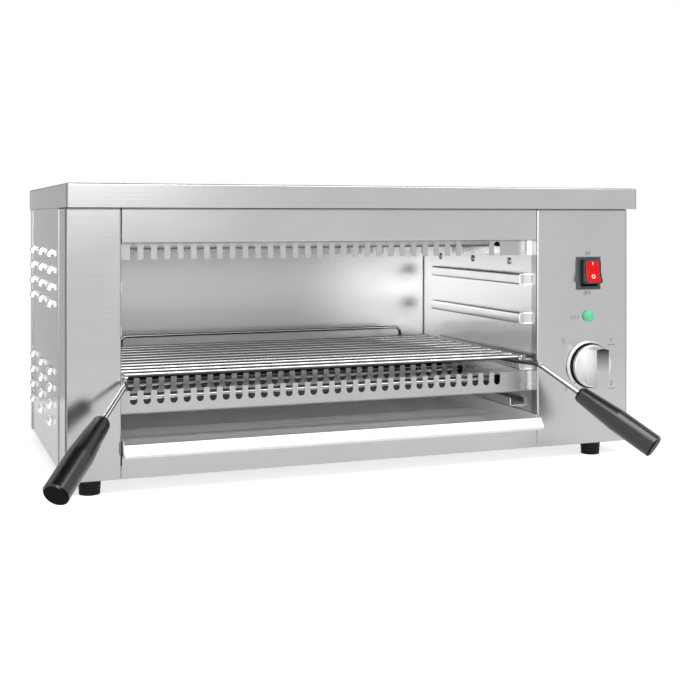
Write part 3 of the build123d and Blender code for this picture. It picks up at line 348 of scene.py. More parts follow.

# %% Edge wear and shade
# One edge line: most finishes put bright wear on it, while the casing and the cover put a painted shade on
# it.
tree, given, result = start_group(
    "edge_wear_and_shade", [("Radius", "NodeSocketFloat", 1.0 * MM)], [("Edge", "NodeSocketFloat")])
rounded = add_node(tree, "ShaderNodeBevel", {"Radius": given.outputs["Radius"]}, samples=4)
flat = add_node(tree, "ShaderNodeNewGeometry")
same = add_node(tree, "ShaderNodeVectorMath",
                {0: rounded.outputs["Normal"], 1: flat.outputs["Normal"]}, operation="DOT_PRODUCT")
tree.links.new(ramp(tree, same.outputs["Value"], 0.995, 0.85), result.inputs["Edge"])
print("group", tree.name)

# %% Corner bend shade
BEND_INSET = 0.9 * MM
BEND_FROM, BEND_FULL = -2.2 * MM, -1.5 * MM
CASING_CORNER = (panel_high[0] - BEND_INSET, -panel_low[1])
COVER_CORNER = (cover_high[0], -cover_low[1])

# Painted shade: this mask darkens the rounded fold at the upright front corners of the casing and cover,
# dimming its highlight.
tree, given, result = start_group(
    "corner_bend_shade",
    [("Side", "NodeSocketFloat", CASING_CORNER[0]), ("Front", "NodeSocketFloat", CASING_CORNER[1])],
    [("Shade", "NodeSocketFloat")])
place = split(tree, object_place(tree))
outside = maths(tree, "SUBTRACT", maths(tree, "ABSOLUTE", place["X"], 0.0), given.outputs["Side"])
front = maths(tree, "MULTIPLY", given.outputs["Front"], -1.0)
ahead = maths(tree, "MULTIPLY_ADD", place["Y"], -1.0, front)
near = [ramp(tree, gap, BEND_FROM, BEND_FULL) for gap in (outside, ahead)]
tree.links.new(maths(tree, "MULTIPLY", *near), result.inputs["Shade"])
print("group", tree.name)

# %% Moulded skin
tree, given, result = start_group(
    "moulded_skin", [("Scale", "NodeSocketFloat", 900.0)], [("Skin", "NodeSocketFloat")])
pores = add_node(tree, "ShaderNodeTexNoise", {
    "Vector": object_place(tree), "Scale": given.outputs["Scale"], "Detail": 2.0, "Roughness": 0.55})
tree.links.new(pores.outputs["Fac"], result.inputs["Skin"])
print("group", tree.name)

# %% Painted underside shade
# Painted shade: the mask falls to 0 on faces that look down, and the wires and lower tubes are painted darker
# there.
tree, given, result = start_group(
    "underside_painted_shade", [("Level", "NodeSocketFloat", 0.0)], [("Unshaded", "NodeSocketFloat")])
facing = split(tree, add_node(tree, "ShaderNodeNewGeometry").outputs["Normal"])
raised = maths(tree, "SUBTRACT", facing["Z"], given.outputs["Level"])
tree.links.new(ramp(tree, raised, -0.15, 0.35, interpolation_type="SMOOTHSTEP"), result.inputs["Unshaded"])
print("group", tree.name)

# %% [markdown]
# ## Steel finishes
# The casing is satin stainless: bright, but with a soft blur that comes from fine brushing. The liner of the
# cavity is the same metal with a brighter skin; on the side walls, runners and rails it is painted much paler
# still, a painted highlight. The wires and the lower tubes are polished and take a painted shade on faces
# that look down, and the upper tubes are a paler copy of the lower tubes' sheath, a painted highlight. One
# recipe serves them all with other values: brushing sets the small changes of roughness and relief, handling
# marks the large ones. Handled edges wear bright, while the edges and bends of the casing are rougher and
# painted darker than its faces, a painted shade.

# %% Steel recipe
STEEL_EDGE = 1.2 * MM
RELIEF_DEPTH = 0.3 * MM
STEEL_MARKS = 9.0
LINE_TONE, MARK_TONE = 0.5, 0.4
EDGE_GAIN, EDGE_TOP = 1.25, 0.9
BEND_BLUR, MARK_BLUR = 0.6, 0.03


def steel(name, dark, light, roughness, grain, brushing=0.05, relief=0.04, wear_and_shade=0.35, bend=None, corner=None,
          under=None, metal=1.0):
    """Brushed metal: grey from dark to light, roughness about a mean, and lines along the grain. Edges and
    the corner take the bend shade, a painted shade that also roughens them, or else a brighter wear tone.
    Faces that look down take the under shade, a painted shade."""
    material, tree, shader = start_material(name)
    lines = mask_of(tree, "brushing_lines", Scale=grain)
    marks = mask_of(tree, "handling_marks", Scale=STEEL_MARKS)
    worn = maths(tree, "MULTIPLY", mask_of(tree, "edge_wear_and_shade", Radius=STEEL_EDGE), wear_and_shade)
    tone = maths(tree, "MULTIPLY_ADD", lines, LINE_TONE, maths(tree, "MULTIPLY", marks, MARK_TONE))
    colour = blend(tree, tone, (dark,) * 3, (light,) * 3)
    # Painted shade: faces that look down blend to the under shade.
    if under is not None:
        colour = blend(tree, mask_of(tree, "underside_painted_shade"), (under,) * 3, colour)
    # Painted shade: with a bend shade given, the edge line and the corner fold are painted darker and
    # blurred.
    if corner is not None:
        worn = maths(tree, "MAXIMUM", worn, mask_of(tree, "corner_bend_shade", Side=corner[0], Front=corner[1]))
    edge = min(light * EDGE_GAIN, EDGE_TOP) if bend is None else bend
    fill_socket(tree, shader.inputs["Base Color"], blend(tree, worn, colour, (edge,) * 3))
    rough = maths(tree, "MULTIPLY_ADD", lines, brushing, roughness - brushing / 2)
    if bend is not None:
        rough = maths(tree, "MULTIPLY_ADD", worn, BEND_BLUR, rough)
    fill_socket(tree, shader.inputs["Roughness"], maths(tree, "MULTIPLY_ADD", marks, MARK_BLUR, rough))
    bump = add_node(tree, "ShaderNodeBump", {"Height": lines, "Strength": relief, "Distance": RELIEF_DEPTH})
    fill_socket(tree, shader.inputs["Normal"], bump.outputs["Normal"])
    shader.inputs["Metallic"].default_value = metal
    return material


# The casing and the cover take a painted shade along their edges and corner folds.
casing_steel = steel("casing_steel", 0.48, 0.54, 0.18, ALONG_X, wear_and_shade=0.6, bend=0.24, corner=CASING_CORNER)
cover_steel = steel("cover_steel", 0.48, 0.54, 0.18, ALONG_X, wear_and_shade=0.5, bend=0.30, corner=COVER_CORNER)
side_steel = steel("side_steel", 0.49, 0.55, 0.15, ALONG_Y, wear_and_shade=0.1)
liner_steel = steel("liner_steel", 0.55, 0.60, 0.33, ALONG_X, brushing=0.02, relief=0.0)
# Painted highlight: the side walls, runners and rails take a much paler copy of the liner.
liner_side_painted_pale = steel("liner_side_painted_pale", 0.91, 0.96, 0.22, ALONG_Y, brushing=0.02, relief=0.0)
tab_steel = steel("tab_steel", 0.48, 0.54, 0.45, ALONG_X, relief=0.0, wear_and_shade=0.0)
comb_steel = steel("comb_steel", 0.43, 0.49, 0.26, ALONG_X)
tray_steel = steel("tray_steel", 0.86, 0.94, 0.42, ALONG_Y, metal=0.4)
# The wires and the lower tubes take a painted shade on faces that look down.
wire_steel = steel("wire_steel", 0.74, 0.84, 0.12, ALONG_X, relief=0.01, under=0.10)
tube_sheath = steel("tube_sheath", 0.34, 0.46, 0.14, ALONG_X, relief=0.01, under=0.06)
# Painted highlight: the upper tubes take a paler, duller copy of the lower tubes' sheath.
sheath_painted_pale = steel("sheath_painted_pale", 0.46, 0.54, 0.50, ALONG_X, relief=0.01)
screw_steel = steel("screw_steel", 0.50, 0.62, 0.22, ALONG_X, relief=0.02)
knob_silver = steel("knob_silver", 0.70, 0.76, 0.36, ALONG_Y, relief=0.01)
print("thirteen steel finishes")

# %% Local shades on steel
LOUVRE_FROM, LOUVRE_FULL, LOUVRE_HIGHLIGHT = 303.3 * MM, 304.2 * MM, 0.95
TUBE_END_SHADE_FROM, TUBE_END_SHADE_FULL, TUBE_END_SHADE = 168.5 * MM, 170.5 * MM, 0.015


def shade_beyond(material, axis, start, full, shade, both_sides=False):
    """Blends the base colour to a shade as an Object coordinate, or its size, goes from start to full."""
    tree = material.node_tree
    socket = tree.nodes["Principled BSDF"].inputs["Base Color"]
    reach = split(tree, object_place(tree))[axis]
    if both_sides:
        reach = maths(tree, "ABSOLUTE", reach, 0.0)
    mask = ramp(tree, reach, start, full)
    fill_socket(tree, socket, blend(tree, mask, socket.links[0].from_socket, (shade,) * 3))


# Painted highlight: the louvre hoods that stand out of the side panels are painted near white.
shade_beyond(side_steel, "X", LOUVRE_FROM, LOUVRE_FULL, LOUVRE_HIGHLIGHT, both_sides=True)
# Painted shade: the right ends of the upper and lower tubes are painted near black.
for sheath in (tube_sheath, sheath_painted_pale):
    shade_beyond(sheath, "X", TUBE_END_SHADE_FROM, TUBE_END_SHADE_FULL, TUBE_END_SHADE)
print("highlighted louvres and shaded tube ends")

# %% [markdown]
# ## Plastics, rubber and ceramic
# The grips are black phenolic with a clear shine, the feet dull rubber, the frame of the switch dark grey.
# These are plain dielectric shaders: the colour wanders between two shades, edges are paler where they rub,
# and a fine moulded skin breaks up the shine. The polish of the grips is a coat that leaves out their flat
# ends, which come dull from the saw.

# %% Plastic recipe
PLASTIC_EDGE = 0.9 * MM
PLASTIC_MARKS = 22.0
EDGE_RUB, SKIN_BLUR = 0.5, 0.1
PALE_GAIN, PALE_LIFT = 1.5, 0.01


def plastic(name, dark, light, roughness, relief, pore_scale=900.0, shine=0.5, pale=None):
    """Moulded plastic: colour between two shades by marks, paler worn edges and a fine skin."""
    material, tree, shader = start_material(name)
    skin = mask_of(tree, "moulded_skin", Scale=pore_scale)
    marks = mask_of(tree, "handling_marks", Scale=PLASTIC_MARKS)
    worn = maths(tree, "MULTIPLY", mask_of(tree, "edge_wear_and_shade", Radius=PLASTIC_EDGE), EDGE_RUB)
    colour = blend(tree, marks, dark, light)
    rubbed = pale or tuple(min(c * PALE_GAIN + PALE_LIFT, 1.0) for c in light)
    fill_socket(tree, shader.inputs["Base Color"], blend(tree, worn, colour, rubbed))
    rough = maths(tree, "MULTIPLY_ADD", skin, SKIN_BLUR, roughness - SKIN_BLUR / 2)
    fill_socket(tree, shader.inputs["Roughness"], rough)
    bump = add_node(tree, "ShaderNodeBump", {"Height": skin, "Strength": relief, "Distance": RELIEF_DEPTH})
    fill_socket(tree, shader.inputs["Normal"], bump.outputs["Normal"])
    shader.inputs["Specular IOR Level"].default_value = shine
    return material


grip_black = plastic("grip_black", (0.002, 0.002, 0.002), (0.004, 0.004, 0.004), 0.4, 0.02, shine=0.05)
foot_rubber = plastic("foot_rubber", (0.005, 0.005, 0.005), (0.010, 0.010, 0.010), 0.55, 0.25, 500.0,
                      shine=0.2)
bezel_grey = plastic("bezel_grey", (0.050, 0.054, 0.056), (0.070, 0.074, 0.076), 0.42, 0.12)
rocker_black = plastic("rocker_black", (0.012, 0.012, 0.013), (0.020, 0.020, 0.021), 0.34, 0.06,
                       pale=(0.30, 0.30, 0.30))
knob_black = plastic("knob_black", (0.002, 0.002, 0.002), (0.004, 0.004, 0.004), 0.5, 0.05, shine=0.1)
block_plastic = plastic("block_plastic", (0.05, 0.05, 0.05), (0.08, 0.08, 0.08), 0.5, 0.15)
gland_nylon = plastic("gland_nylon", (0.014, 0.014, 0.015), (0.024, 0.024, 0.025), 0.45, 0.12)
wire_sleeve = plastic("wire_sleeve", (0.62, 0.60, 0.55), (0.72, 0.70, 0.65), 0.6, 0.3, 300.0)
holder_ceramic = plastic("holder_ceramic", (0.70, 0.68, 0.63), (0.80, 0.78, 0.74), 0.55, 0.3, 400.0)
mark_white = plastic("mark_white", (0.86, 0.85, 0.84), (0.92, 0.91, 0.90), 0.45, 0.05)
mark_grey = plastic("mark_grey", (0.13, 0.13, 0.13), (0.18, 0.18, 0.18), 0.55, 0.05)
mark_black = plastic("mark_black", (0.010, 0.010, 0.010), (0.018, 0.018, 0.018), 0.5, 0.05)
print("twelve moulded and printed finishes")

# %% Polish on the grips
GRIP_END = (0.0, -0.792, -0.610)
DULL_AT, POLISHED_AT = 0.80, 0.62

tree, shader = grip_black.node_tree, grip_black.node_tree.nodes["Principled BSDF"]
outward = add_node(tree, "ShaderNodeNewGeometry").outputs["Normal"]
facing = add_node(tree, "ShaderNodeVectorMath", {0: outward, 1: GRIP_END}, operation="DOT_PRODUCT")
fill_socket(tree, shader.inputs["Coat Weight"], ramp(tree, facing.outputs["Value"], DULL_AT, POLISHED_AT))
shader.inputs["Coat Roughness"].default_value = 0.24
shader.inputs["Coat IOR"].default_value = 1.6
print("grips polished, their ends left dull")

# %% [markdown]
# ## Lit windows and bare alloys
# The rocker's red window and the green lamp are tinted plastic with a light behind them, so they glow a
# little in their own colour. The terminals are brass and the coils a darker alloy, both dulled unevenly.

# %% Windows and alloys
WINDOW_MARKS, ALLOY_MARKS = 120.0, 140.0


def lit_window(name, deep, bright, strength):
    """Tinted window with a lamp behind it: glossy plastic whose glow follows its own colour."""
    material, tree, shader = start_material(name)
    marks = mask_of(tree, "handling_marks", Scale=WINDOW_MARKS)
    colour = blend(tree, marks, deep, bright)
    fill_socket(tree, shader.inputs["Base Color"], colour)
    fill_socket(tree, shader.inputs["Emission Color"], colour)
    shader.inputs["Emission Strength"].default_value = strength
    fill_socket(tree, shader.inputs["Roughness"], maths(tree, "MULTIPLY_ADD", marks, 0.06, 0.14))
    shader.inputs["Specular IOR Level"].default_value = 0.2
    return material


def dull_alloy(name, dark, light, roughness):
    """Bare metal that has dulled unevenly: colour and roughness both follow the marks."""
    material, tree, shader = start_material(name)
    marks = mask_of(tree, "handling_marks", Scale=ALLOY_MARKS)
    fill_socket(tree, shader.inputs["Base Color"], blend(tree, marks, dark, light))
    fill_socket(tree, shader.inputs["Roughness"], maths(tree, "MULTIPLY_ADD", marks, 0.15, roughness))
    shader.inputs["Metallic"].default_value = 1.0
    return material


rocker_red = lit_window("rocker_red", (0.62, 0.001, 0.002), (0.74, 0.002, 0.003), 0.22)
lamp_green = lit_window("lamp_green", (0.11, 0.56, 0.29), (0.15, 0.64, 0.35), 0.16)
contact_brass = dull_alloy("contact_brass", (0.60, 0.44, 0.20), (0.78, 0.60, 0.32), 0.25)
coil_alloy = dull_alloy("coil_alloy", (0.20, 0.18, 0.17), (0.32, 0.29, 0.27), 0.45)
print("two windows and two alloys")

# %% [markdown]
# ## The bar of the knob
# The bar that the fingers hold is metal like the dial. Its front face is painted a darker grey, and towards
# its upper end it is painted black, fading out down the face; both are painted shade. Object coordinates turn
# with the knob, so a mask on height and depth stays on the same end of the bar at every setting.

# %% Bar finish
BAR_SHADE_FROM, BAR_SHADE_FULL = 94.0 * MM, 119.0 * MM
FACE_FROM, FACE_FULL = -176.6 * MM, -177.4 * MM
BAR_MARKS = 60.0

bar_silver, tree, shader = start_material("bar_silver")
place = split(tree, object_place(tree))
# Painted shade: the front face is painted a darker grey, and black towards its upper end.
upper = ramp(tree, place["Z"], BAR_SHADE_FROM, BAR_SHADE_FULL)
front = ramp(tree, place["Y"], FACE_FROM, FACE_FULL)
paint = maths(tree, "MULTIPLY", upper, front)
marks = mask_of(tree, "handling_marks", Scale=BAR_MARKS)
silver = blend(tree, marks, (0.74, 0.74, 0.74), (0.80, 0.80, 0.80))
front_shaded = blend(tree, front, silver, (0.50, 0.50, 0.50))
fill_socket(tree, shader.inputs["Base Color"], blend(tree, paint, front_shaded, (0.005, 0.005, 0.005)))
fill_socket(tree, shader.inputs["Roughness"], maths(tree, "MULTIPLY_ADD", marks, 0.08, 0.3))
shader.inputs["Metallic"].default_value = 1.0
print("bar finish ready")

# %% [markdown]
# ## Who wears what
# Each solid takes one finish. Writing it as a table makes it easy to see that no node is forgotten.

# %% Finish of each node
finishes = {
    cover_steel: ["top_cover"],
    casing_steel: ["left_front_panel", "control_panel", "upper_fascia", "lower_apron", "rear_panel",
                   "base_pan"],
    side_steel: ["left_side_panel", "right_side_panel"],
    liner_steel: ["cavity_rear_wall", "ceiling_reflector"],
    liner_side_painted_pale: ["cavity_left_wall", "cavity_right_wall", "left_tray_runner", "right_tray_runner",
                       "left_shelf_rails", "right_shelf_rails"],
    comb_steel: ["upper_front_comb", "upper_rear_comb", "lower_front_comb", "lower_rear_comb"],
    tray_steel: ["crumb_tray"],
    wire_steel: ["wire_rack", "rack_back_stop", "left_handle_rod", "right_handle_rod"],
    tube_sheath: ["lower_tube_1", "lower_tube_2", "lower_tube_3"],
    sheath_painted_pale: ["upper_tube_1", "upper_tube_2", "upper_tube_3"],
    screw_steel: ["cover_screws", "holder_screws", "foot_screws", "selector_shaft"],
    knob_silver: ["knob_skirt", "knob_cap"],
    bar_silver: ["knob_grip"],
    knob_black: ["knob_ring"],
    grip_black: ["left_grip", "right_grip"],
    foot_rubber: ["feet"],
    bezel_grey: ["rocker_housing"],
    rocker_black: ["rocker_button"],
    rocker_red: ["rocker_lens"],
    lamp_green: ["lamp_lens"],
    block_plastic: ["lamp_body", "selector_switch", "terminal_block"],
    gland_nylon: ["cable_gland", "gland_nut"],
    wire_sleeve: ["wiring"],
    holder_ceramic: ["tube_holders"],
    contact_brass: ["tube_studs", "element_links", "rocker_terminals"],
    coil_alloy: ["heating_coils"],
}
for finish, names in finishes.items():
    for name in names:
        for slot in nodes[name].material_slots:
            slot.material = finish
dressed = {name for names in finishes.values() for name in names}
print("undressed nodes:", sorted(set(nodes) - dressed))

# %% [markdown]
# ## Surfaces from arrays
# Every new piece is a stack of rings: a printed stroke is a flat oval carried along a line, a screw is a
# circle that grows and shrinks along its axis, a weld is a squashed ball, and a rail is a cut through its
# sheet carried round the fold. So one function turns a stack of rings into faces. Either the last ring meets
# the first, or each end closes in a fan.

# %% Ring stacks
SHARP_ANGLE = math.radians(34)


def skin_rings(rings, closed=False):
    """Points and faces over rings of shape (rows, columns, 3): quads between rows, joined or fanned ends."""
    rows, columns, _ = rings.shape
    index = np.arange(rows * columns).reshape(rows, columns)
    here = index if closed else index[:-1]
    there = np.roll(index, -1, axis=0) if closed else index[1:]
    quads = np.stack([here, np.roll(here, -1, 1), np.roll(there, -1, 1), there], axis=-1).reshape(-1, 4)
    points, faces = rings.reshape(-1, 3), quads.tolist()
    if not closed:
        points = np.vstack([points, rings[0].mean(axis=0), rings[-1].mean(axis=0)])
        first, last = np.full(columns, rows * columns), np.full(columns, rows * columns + 1)
        faces += np.stack([np.roll(index[0], -1), index[0], first], axis=-1).tolist()
        faces += np.stack([index[-1], np.roll(index[-1], -1), last], axis=-1).tolist()
    return points, faces


def full_turn(count):
    """Angles spread evenly over a full turn."""
    return np.linspace(0, 2 * np.pi, count, endpoint=False)


def add_piece(name, parts, material, body):
    """One object from several (points, faces) parts, riding on a body."""
    starts = np.cumsum([0] + [len(points) for points, _ in parts])
    faces = [[i + start for i in face] for (_, some), start in zip(parts, starts) for face in some]
    mesh = bpy.data.meshes.new(name)
    mesh.from_pydata(np.vstack([points for points, _ in parts]).tolist(), [], faces)
    mesh.polygons.foreach_set("use_smooth", np.ones(len(faces), dtype=bool))
    mesh.materials.append(material)
    mesh.update()
    mesh.set_sharp_from_angle(angle=SHARP_ANGLE)
    piece = bpy.data.objects.new(name, mesh)
    bpy.context.scene.collection.objects.link(piece)
    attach(piece, body)
    print(name, "has", len(parts), "parts and", len(faces), "faces")
    return piece


print("ring helpers ready")

# %% [markdown]
# ## Printed strokes
# The marks by the switch and the dial are ink lines a fraction of a millimetre thick. Text objects would give
# flat letters with hundreds of faces each. A stroke is simpler and closer to engraving and screen print: an
# oval profile, wide and very low, carried along the centre line of the mark.

# %% Stroke along a line
INK_HEIGHT = 0.1 * MM
STROKE_SIDES = 8
END_SHARE = 0.6


def stroke(path, lift, width, closed=False):
    """Low bead along a path: point + across x half width x cos + lift x half height x sin, with across the
    lift crossed with the direction of travel; the ends of an open bead are narrowed to round them."""
    path = np.asarray(path, float)
    lift = np.broadcast_to(np.asarray(lift, float), path.shape)
    ahead = np.roll(path, -1, 0) - np.roll(path, 1, 0) if closed else np.gradient(path, axis=0)
    across = np.cross(lift, ahead)
    across /= np.linalg.norm(across, axis=1, keepdims=True)
    half = np.full(len(path), width / 2)
    if not closed:
        half[[0, -1]] *= END_SHARE
    turn = full_turn(STROKE_SIDES)
    side = half[:, None, None] * np.cos(turn)[None, :, None] * across[:, None, :]
    rise = INK_HEIGHT / 2 * np.sin(turn)[None, :, None] * lift[:, None, :]
    return skin_rings(path[:, None, :] + side + rise, closed)


def fine(points, steps=5):
    """The corner points of a line with evenly spread points between them."""
    points = np.asarray(points, float)
    at = np.linspace(0, len(points) - 1, (len(points) - 1) * steps + 1)
    return np.stack([np.interp(at, np.arange(len(points)), column) for column in points.T], axis=-1)


def arc(middle, radii, start, end, count=20):
    """Points of an oval arc: middle + radii x (cos, sin) of an angle in degrees."""
    angle = np.radians(np.linspace(start, end, count))
    return np.stack([middle[0] + radii[0] * np.cos(angle), middle[1] + radii[1] * np.sin(angle)], axis=-1)


print("stroke helpers ready")

# %% [markdown]
# ## Signs of the switch and the dial
# The switch says ON above and OFF below, and the dial has plain numbers at its four settings. Each sign is a
# few strokes on a square one unit high. Beside the lamp, three rising waves stand for heat.

# %% Sign table
SIGN_STEP, SIGN_WIDTH = 0.95, 0.65

two = np.vstack([arc((0.3, 0.7), (0.3, 0.3), 165, -35), fine([(0.5, 0.46), (0.0, 0.0), (0.62, 0.0)])])
three = np.vstack([arc((0.27, 0.74), (0.27, 0.26), 150, -80, 14),
                   arc((0.27, 0.26), (0.3, 0.26), 80, -150, 16)])
signs = {
    "O": [(arc((0.34, 0.5), (0.34, 0.5), 0, 345, 24), True)],
    "N": [(fine([(0, 0), (0, 1), (0.62, 0), (0.62, 1)]), False)],
    "F": [(fine([(0.56, 1), (0, 1), (0, 0)]), False), (fine([(0, 0.52), (0.46, 0.52)]), False)],
    "0": [(arc((0.3, 0.5), (0.3, 0.5), 0, 345, 24), True)],
    "1": [(fine([(0.08, 0.76), (0.34, 1), (0.34, 0)]), False)],
    "2": [(two, False)],
    "3": [(three, False)],
}


def write_signs(text, middle, height, place, width):
    """Strokes of a text centred on a middle point; place turns (right, up) into points and a lift."""
    parts = []
    length = SIGN_STEP * (len(text) - 1) + SIGN_WIDTH
    for number, letter in enumerate(text):
        for line, closed in signs[letter]:
            flat = (line + (SIGN_STEP * number - length / 2, -0.5)) * height + np.asarray(middle)
            points, lift = place(flat)
            parts.append(stroke(points, lift, width, closed=closed))
    return parts


print("signs:", " ".join(signs))

# %% Signs on the control panel
PANEL_FACE = panel_low[1]
INK_WIDTH = 0.75 * MM
SWITCH_SIGN, DIAL_SIGN = 3.7 * MM, 4.2 * MM
SIGN_PLACES = (
    ("ON", 253.4, 219.7, SWITCH_SIGN),
    ("OFF", 253.4, 176.5, SWITCH_SIGN),
    ("0", 222.9, 125.7, DIAL_SIGN),
    ("1", 283.3, 124.6, DIAL_SIGN),
    ("2", 283.4, 77.6, DIAL_SIGN),
    ("3", 226.1, 73.8, DIAL_SIGN),
)
LINE_LEFT, LINE_RIGHT, LINE_HEIGHTS = 278.0, 288.8, (119.4, 71.6)
WAVE_PLACES, WAVE_HEIGHT = (233.4, 237.4, 241.4), 150.4
WAVE_HALF, WAVE_SWAY, WAVE_TURN = 2.6, 0.9, 1.1 * np.pi


def on_panel(flat):
    """Points of the control panel's face from (X, Z) pairs, with the lift towards the front."""
    return np.stack([flat[:, 0], np.full(len(flat), PANEL_FACE), flat[:, 1]], axis=-1), (0.0, -1.0, 0.0)


panel_signs = []
for text, x, z, height in SIGN_PLACES:
    panel_signs += write_signs(text, (x * MM, z * MM), height, on_panel, INK_WIDTH)
panel_lines = [fine([(LINE_LEFT, z), (LINE_RIGHT, z)]) for z in LINE_HEIGHTS]
up = np.linspace(-1, 1, 24)
sway = WAVE_SWAY * np.sin(up * WAVE_TURN)
for x in WAVE_PLACES:
    panel_lines.append(np.stack([x + sway, WAVE_HEIGHT + WAVE_HALF * up], axis=-1))
panel_signs += [stroke(*on_panel(line * MM), INK_WIDTH) for line in panel_lines]
add_piece("panel_signs", panel_signs, mark_grey, "cabinet")

# %% [markdown]
# ## Marks that move
# The rocker carries a stroke for on and a ring for off, on its two faces, so they have to tilt with it. The
# lower face is the upper one swung about the pivot.

# %% Rocker marks
PIVOT = np.array(hinges["rocker_tilt"]["pos_m"])
SWING = math.radians(hinges["rocker_tilt"]["range_deg"][1])
FACE_OUT = 10.5 * MM
BAR_LOW, BAR_HIGH = 9.0 * MM, 12.3 * MM
RING_DROP, RING_RADIUS = 7.0 * MM, 1.9 * MM
MARK_WIDTH = 0.9 * MM


def on_rocker(flat, swing):
    """Points of a rocker face from (right, up) pairs about the pivot; swing turns them about the X axis."""
    out, up = np.full(len(flat), FACE_OUT), flat[:, 1]
    turned_out = out * math.cos(swing) - up * math.sin(swing)
    turned_up = out * math.sin(swing) + up * math.cos(swing)
    points = PIVOT + np.stack([flat[:, 0], -turned_out, turned_up], axis=-1)
    return points, (0.0, -math.cos(swing), math.sin(swing))


bar, bar_lift = on_rocker(fine([(0.0, BAR_LOW), (0.0, BAR_HIGH)]), 0.0)
ring, ring_lift = on_rocker(arc((0.0, -RING_DROP), (RING_RADIUS, RING_RADIUS), 0, 348, 30), SWING)
rocker_marks = [stroke(bar, bar_lift, MARK_WIDTH), stroke(ring, ring_lift, MARK_WIDTH, closed=True)]
add_piece("rocker_marks", rocker_marks, mark_white, "rocker")

# %% [markdown]
# ## The turned knob
# The dial under the grip bar is turned metal: a conical skirt, a black groove and a round-edged cap. The
# solids keep these as plain discs. Here each is a profile spun round the knob's axis, which gives the skirt
# its slope and the cap its soft edge. Short ticks round the skirt and the cap turn with them.

# %% Turned dial
KNOB_X, _, KNOB_Z = hinges["knob_turn"]["pos_m"]
DIAL_BORE = 4.0
SKIRT_RADIUS, SKIRT_SHOULDER, SKIRT_RIM, SKIRT_EDGE = 26.8, 24.7, 0.4, 0.3
SKIRT_BACK, SKIRT_FACE = -148.9, -151.4
GROOVE_RADIUS, GROOVE_BACK, GROOVE_FACE = 24.4, -151.2, -154.0
CAP_RADIUS, CAP_EDGE = 23.0, 1.6
CAP_BACK, CAP_FACE = -153.8, -159.0


def spun(profile, columns=72):
    """Profile of (radius, Y) points in mm spun round the knob's axis: axis + radius x (cos u, 0, sin u)."""
    radius, depth = np.asarray(profile, float).T[:, :, None] * MM
    turn = full_turn(columns)[None, :]
    right, up = KNOB_X + radius * np.cos(turn), KNOB_Z + radius * np.sin(turn)
    return skin_rings(np.stack([right, depth + 0 * turn, up], axis=-1))


skirt = spun([
    (DIAL_BORE, SKIRT_BACK), (SKIRT_RADIUS, SKIRT_BACK), (SKIRT_RADIUS, SKIRT_BACK - SKIRT_RIM),
    (SKIRT_RADIUS - SKIRT_EDGE, SKIRT_BACK - SKIRT_RIM - SKIRT_EDGE),
    (SKIRT_SHOULDER, SKIRT_FACE), (DIAL_BORE, SKIRT_FACE)])
groove = spun([
    (DIAL_BORE, GROOVE_BACK), (GROOVE_RADIUS, GROOVE_BACK),
    (GROOVE_RADIUS, GROOVE_FACE), (DIAL_BORE, GROOVE_FACE)])
cap_edge = arc((CAP_RADIUS - CAP_EDGE, CAP_FACE + CAP_EDGE), (CAP_EDGE, -CAP_EDGE), 0, 90, 7)
cap = spun([(DIAL_BORE, CAP_BACK), (CAP_RADIUS, CAP_BACK), *cap_edge.tolist(), (DIAL_BORE, CAP_FACE)])
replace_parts(add_piece("dial_skirt", [skirt], knob_silver, "knob"), "knob_skirt")
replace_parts(add_piece("dial_groove", [groove], knob_black, "knob"), "knob_ring")
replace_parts(add_piece("dial_cap", [cap], knob_silver, "knob"), "knob_cap")

# %% Dial ticks
CAP_TICK, CAP_TICK_WIDTH = ((21.6, -159.0), (22.6, -158.4)), 0.9 * MM
SKIRT_TICK, SKIRT_TICK_WIDTH = ((24.9, -151.2), (26.3, -149.8)), 1.3 * MM


def dial_tick(degrees, near, far, width):
    """Straight stroke between two (radius, Y) points at an angle round the knob, lifted square to it."""
    angle = math.radians(degrees)
    radial = np.array([math.cos(angle), 0.0, math.sin(angle)])
    ends = [np.array([KNOB_X, depth * MM, KNOB_Z]) + radius * MM * radial for radius, depth in (near, far)]
    slope = np.subtract(far, near) / np.linalg.norm(np.subtract(far, near))
    return stroke(fine(ends), slope[1] * radial - np.array([0.0, slope[0], 0.0]), width)


ticks = [dial_tick(degrees, *CAP_TICK, CAP_TICK_WIDTH) for degrees in range(15, 360, 30)]
ticks += [dial_tick(degrees, *SKIRT_TICK, SKIRT_TICK_WIDTH) for degrees in range(45, 360, 90)]
add_piece("dial_ticks", ticks, mark_black, "knob")

# %% [markdown]
# ## Folded rails
# The shelf rails are folded from sheet: three channels on each wall, with the web towards the cavity and the
# flanges against the wall, and below them a plain angle. The solids make all four channels and close their
# front ends with a flush tab. Set a little way in and left dull, the tab lets the thin bright edge of the
# sheet frame the end. Here a cut through the sheet is carried round the fold, and the tabs are plates of
# their own.

# %% Rails
rails_low, rails_high = (np.array(corner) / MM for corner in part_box("left_shelf_rails"))
RAIL_REACH, RAIL_DROP, RAIL_BEND, RAIL_SHEET = 10.0, 12.0, 2.0, 1.0
RAIL_FRONT, RAIL_REAR = rails_low[1], rails_high[1]
CHANNEL_TOPS = (105.5, 155.27, rails_high[2])
ANGLE_TOP, ANGLE_FRONT, ANGLE_CUT = rails_low[2] + RAIL_DROP, -105.0, 3.0
TAB_INSET = 1.0


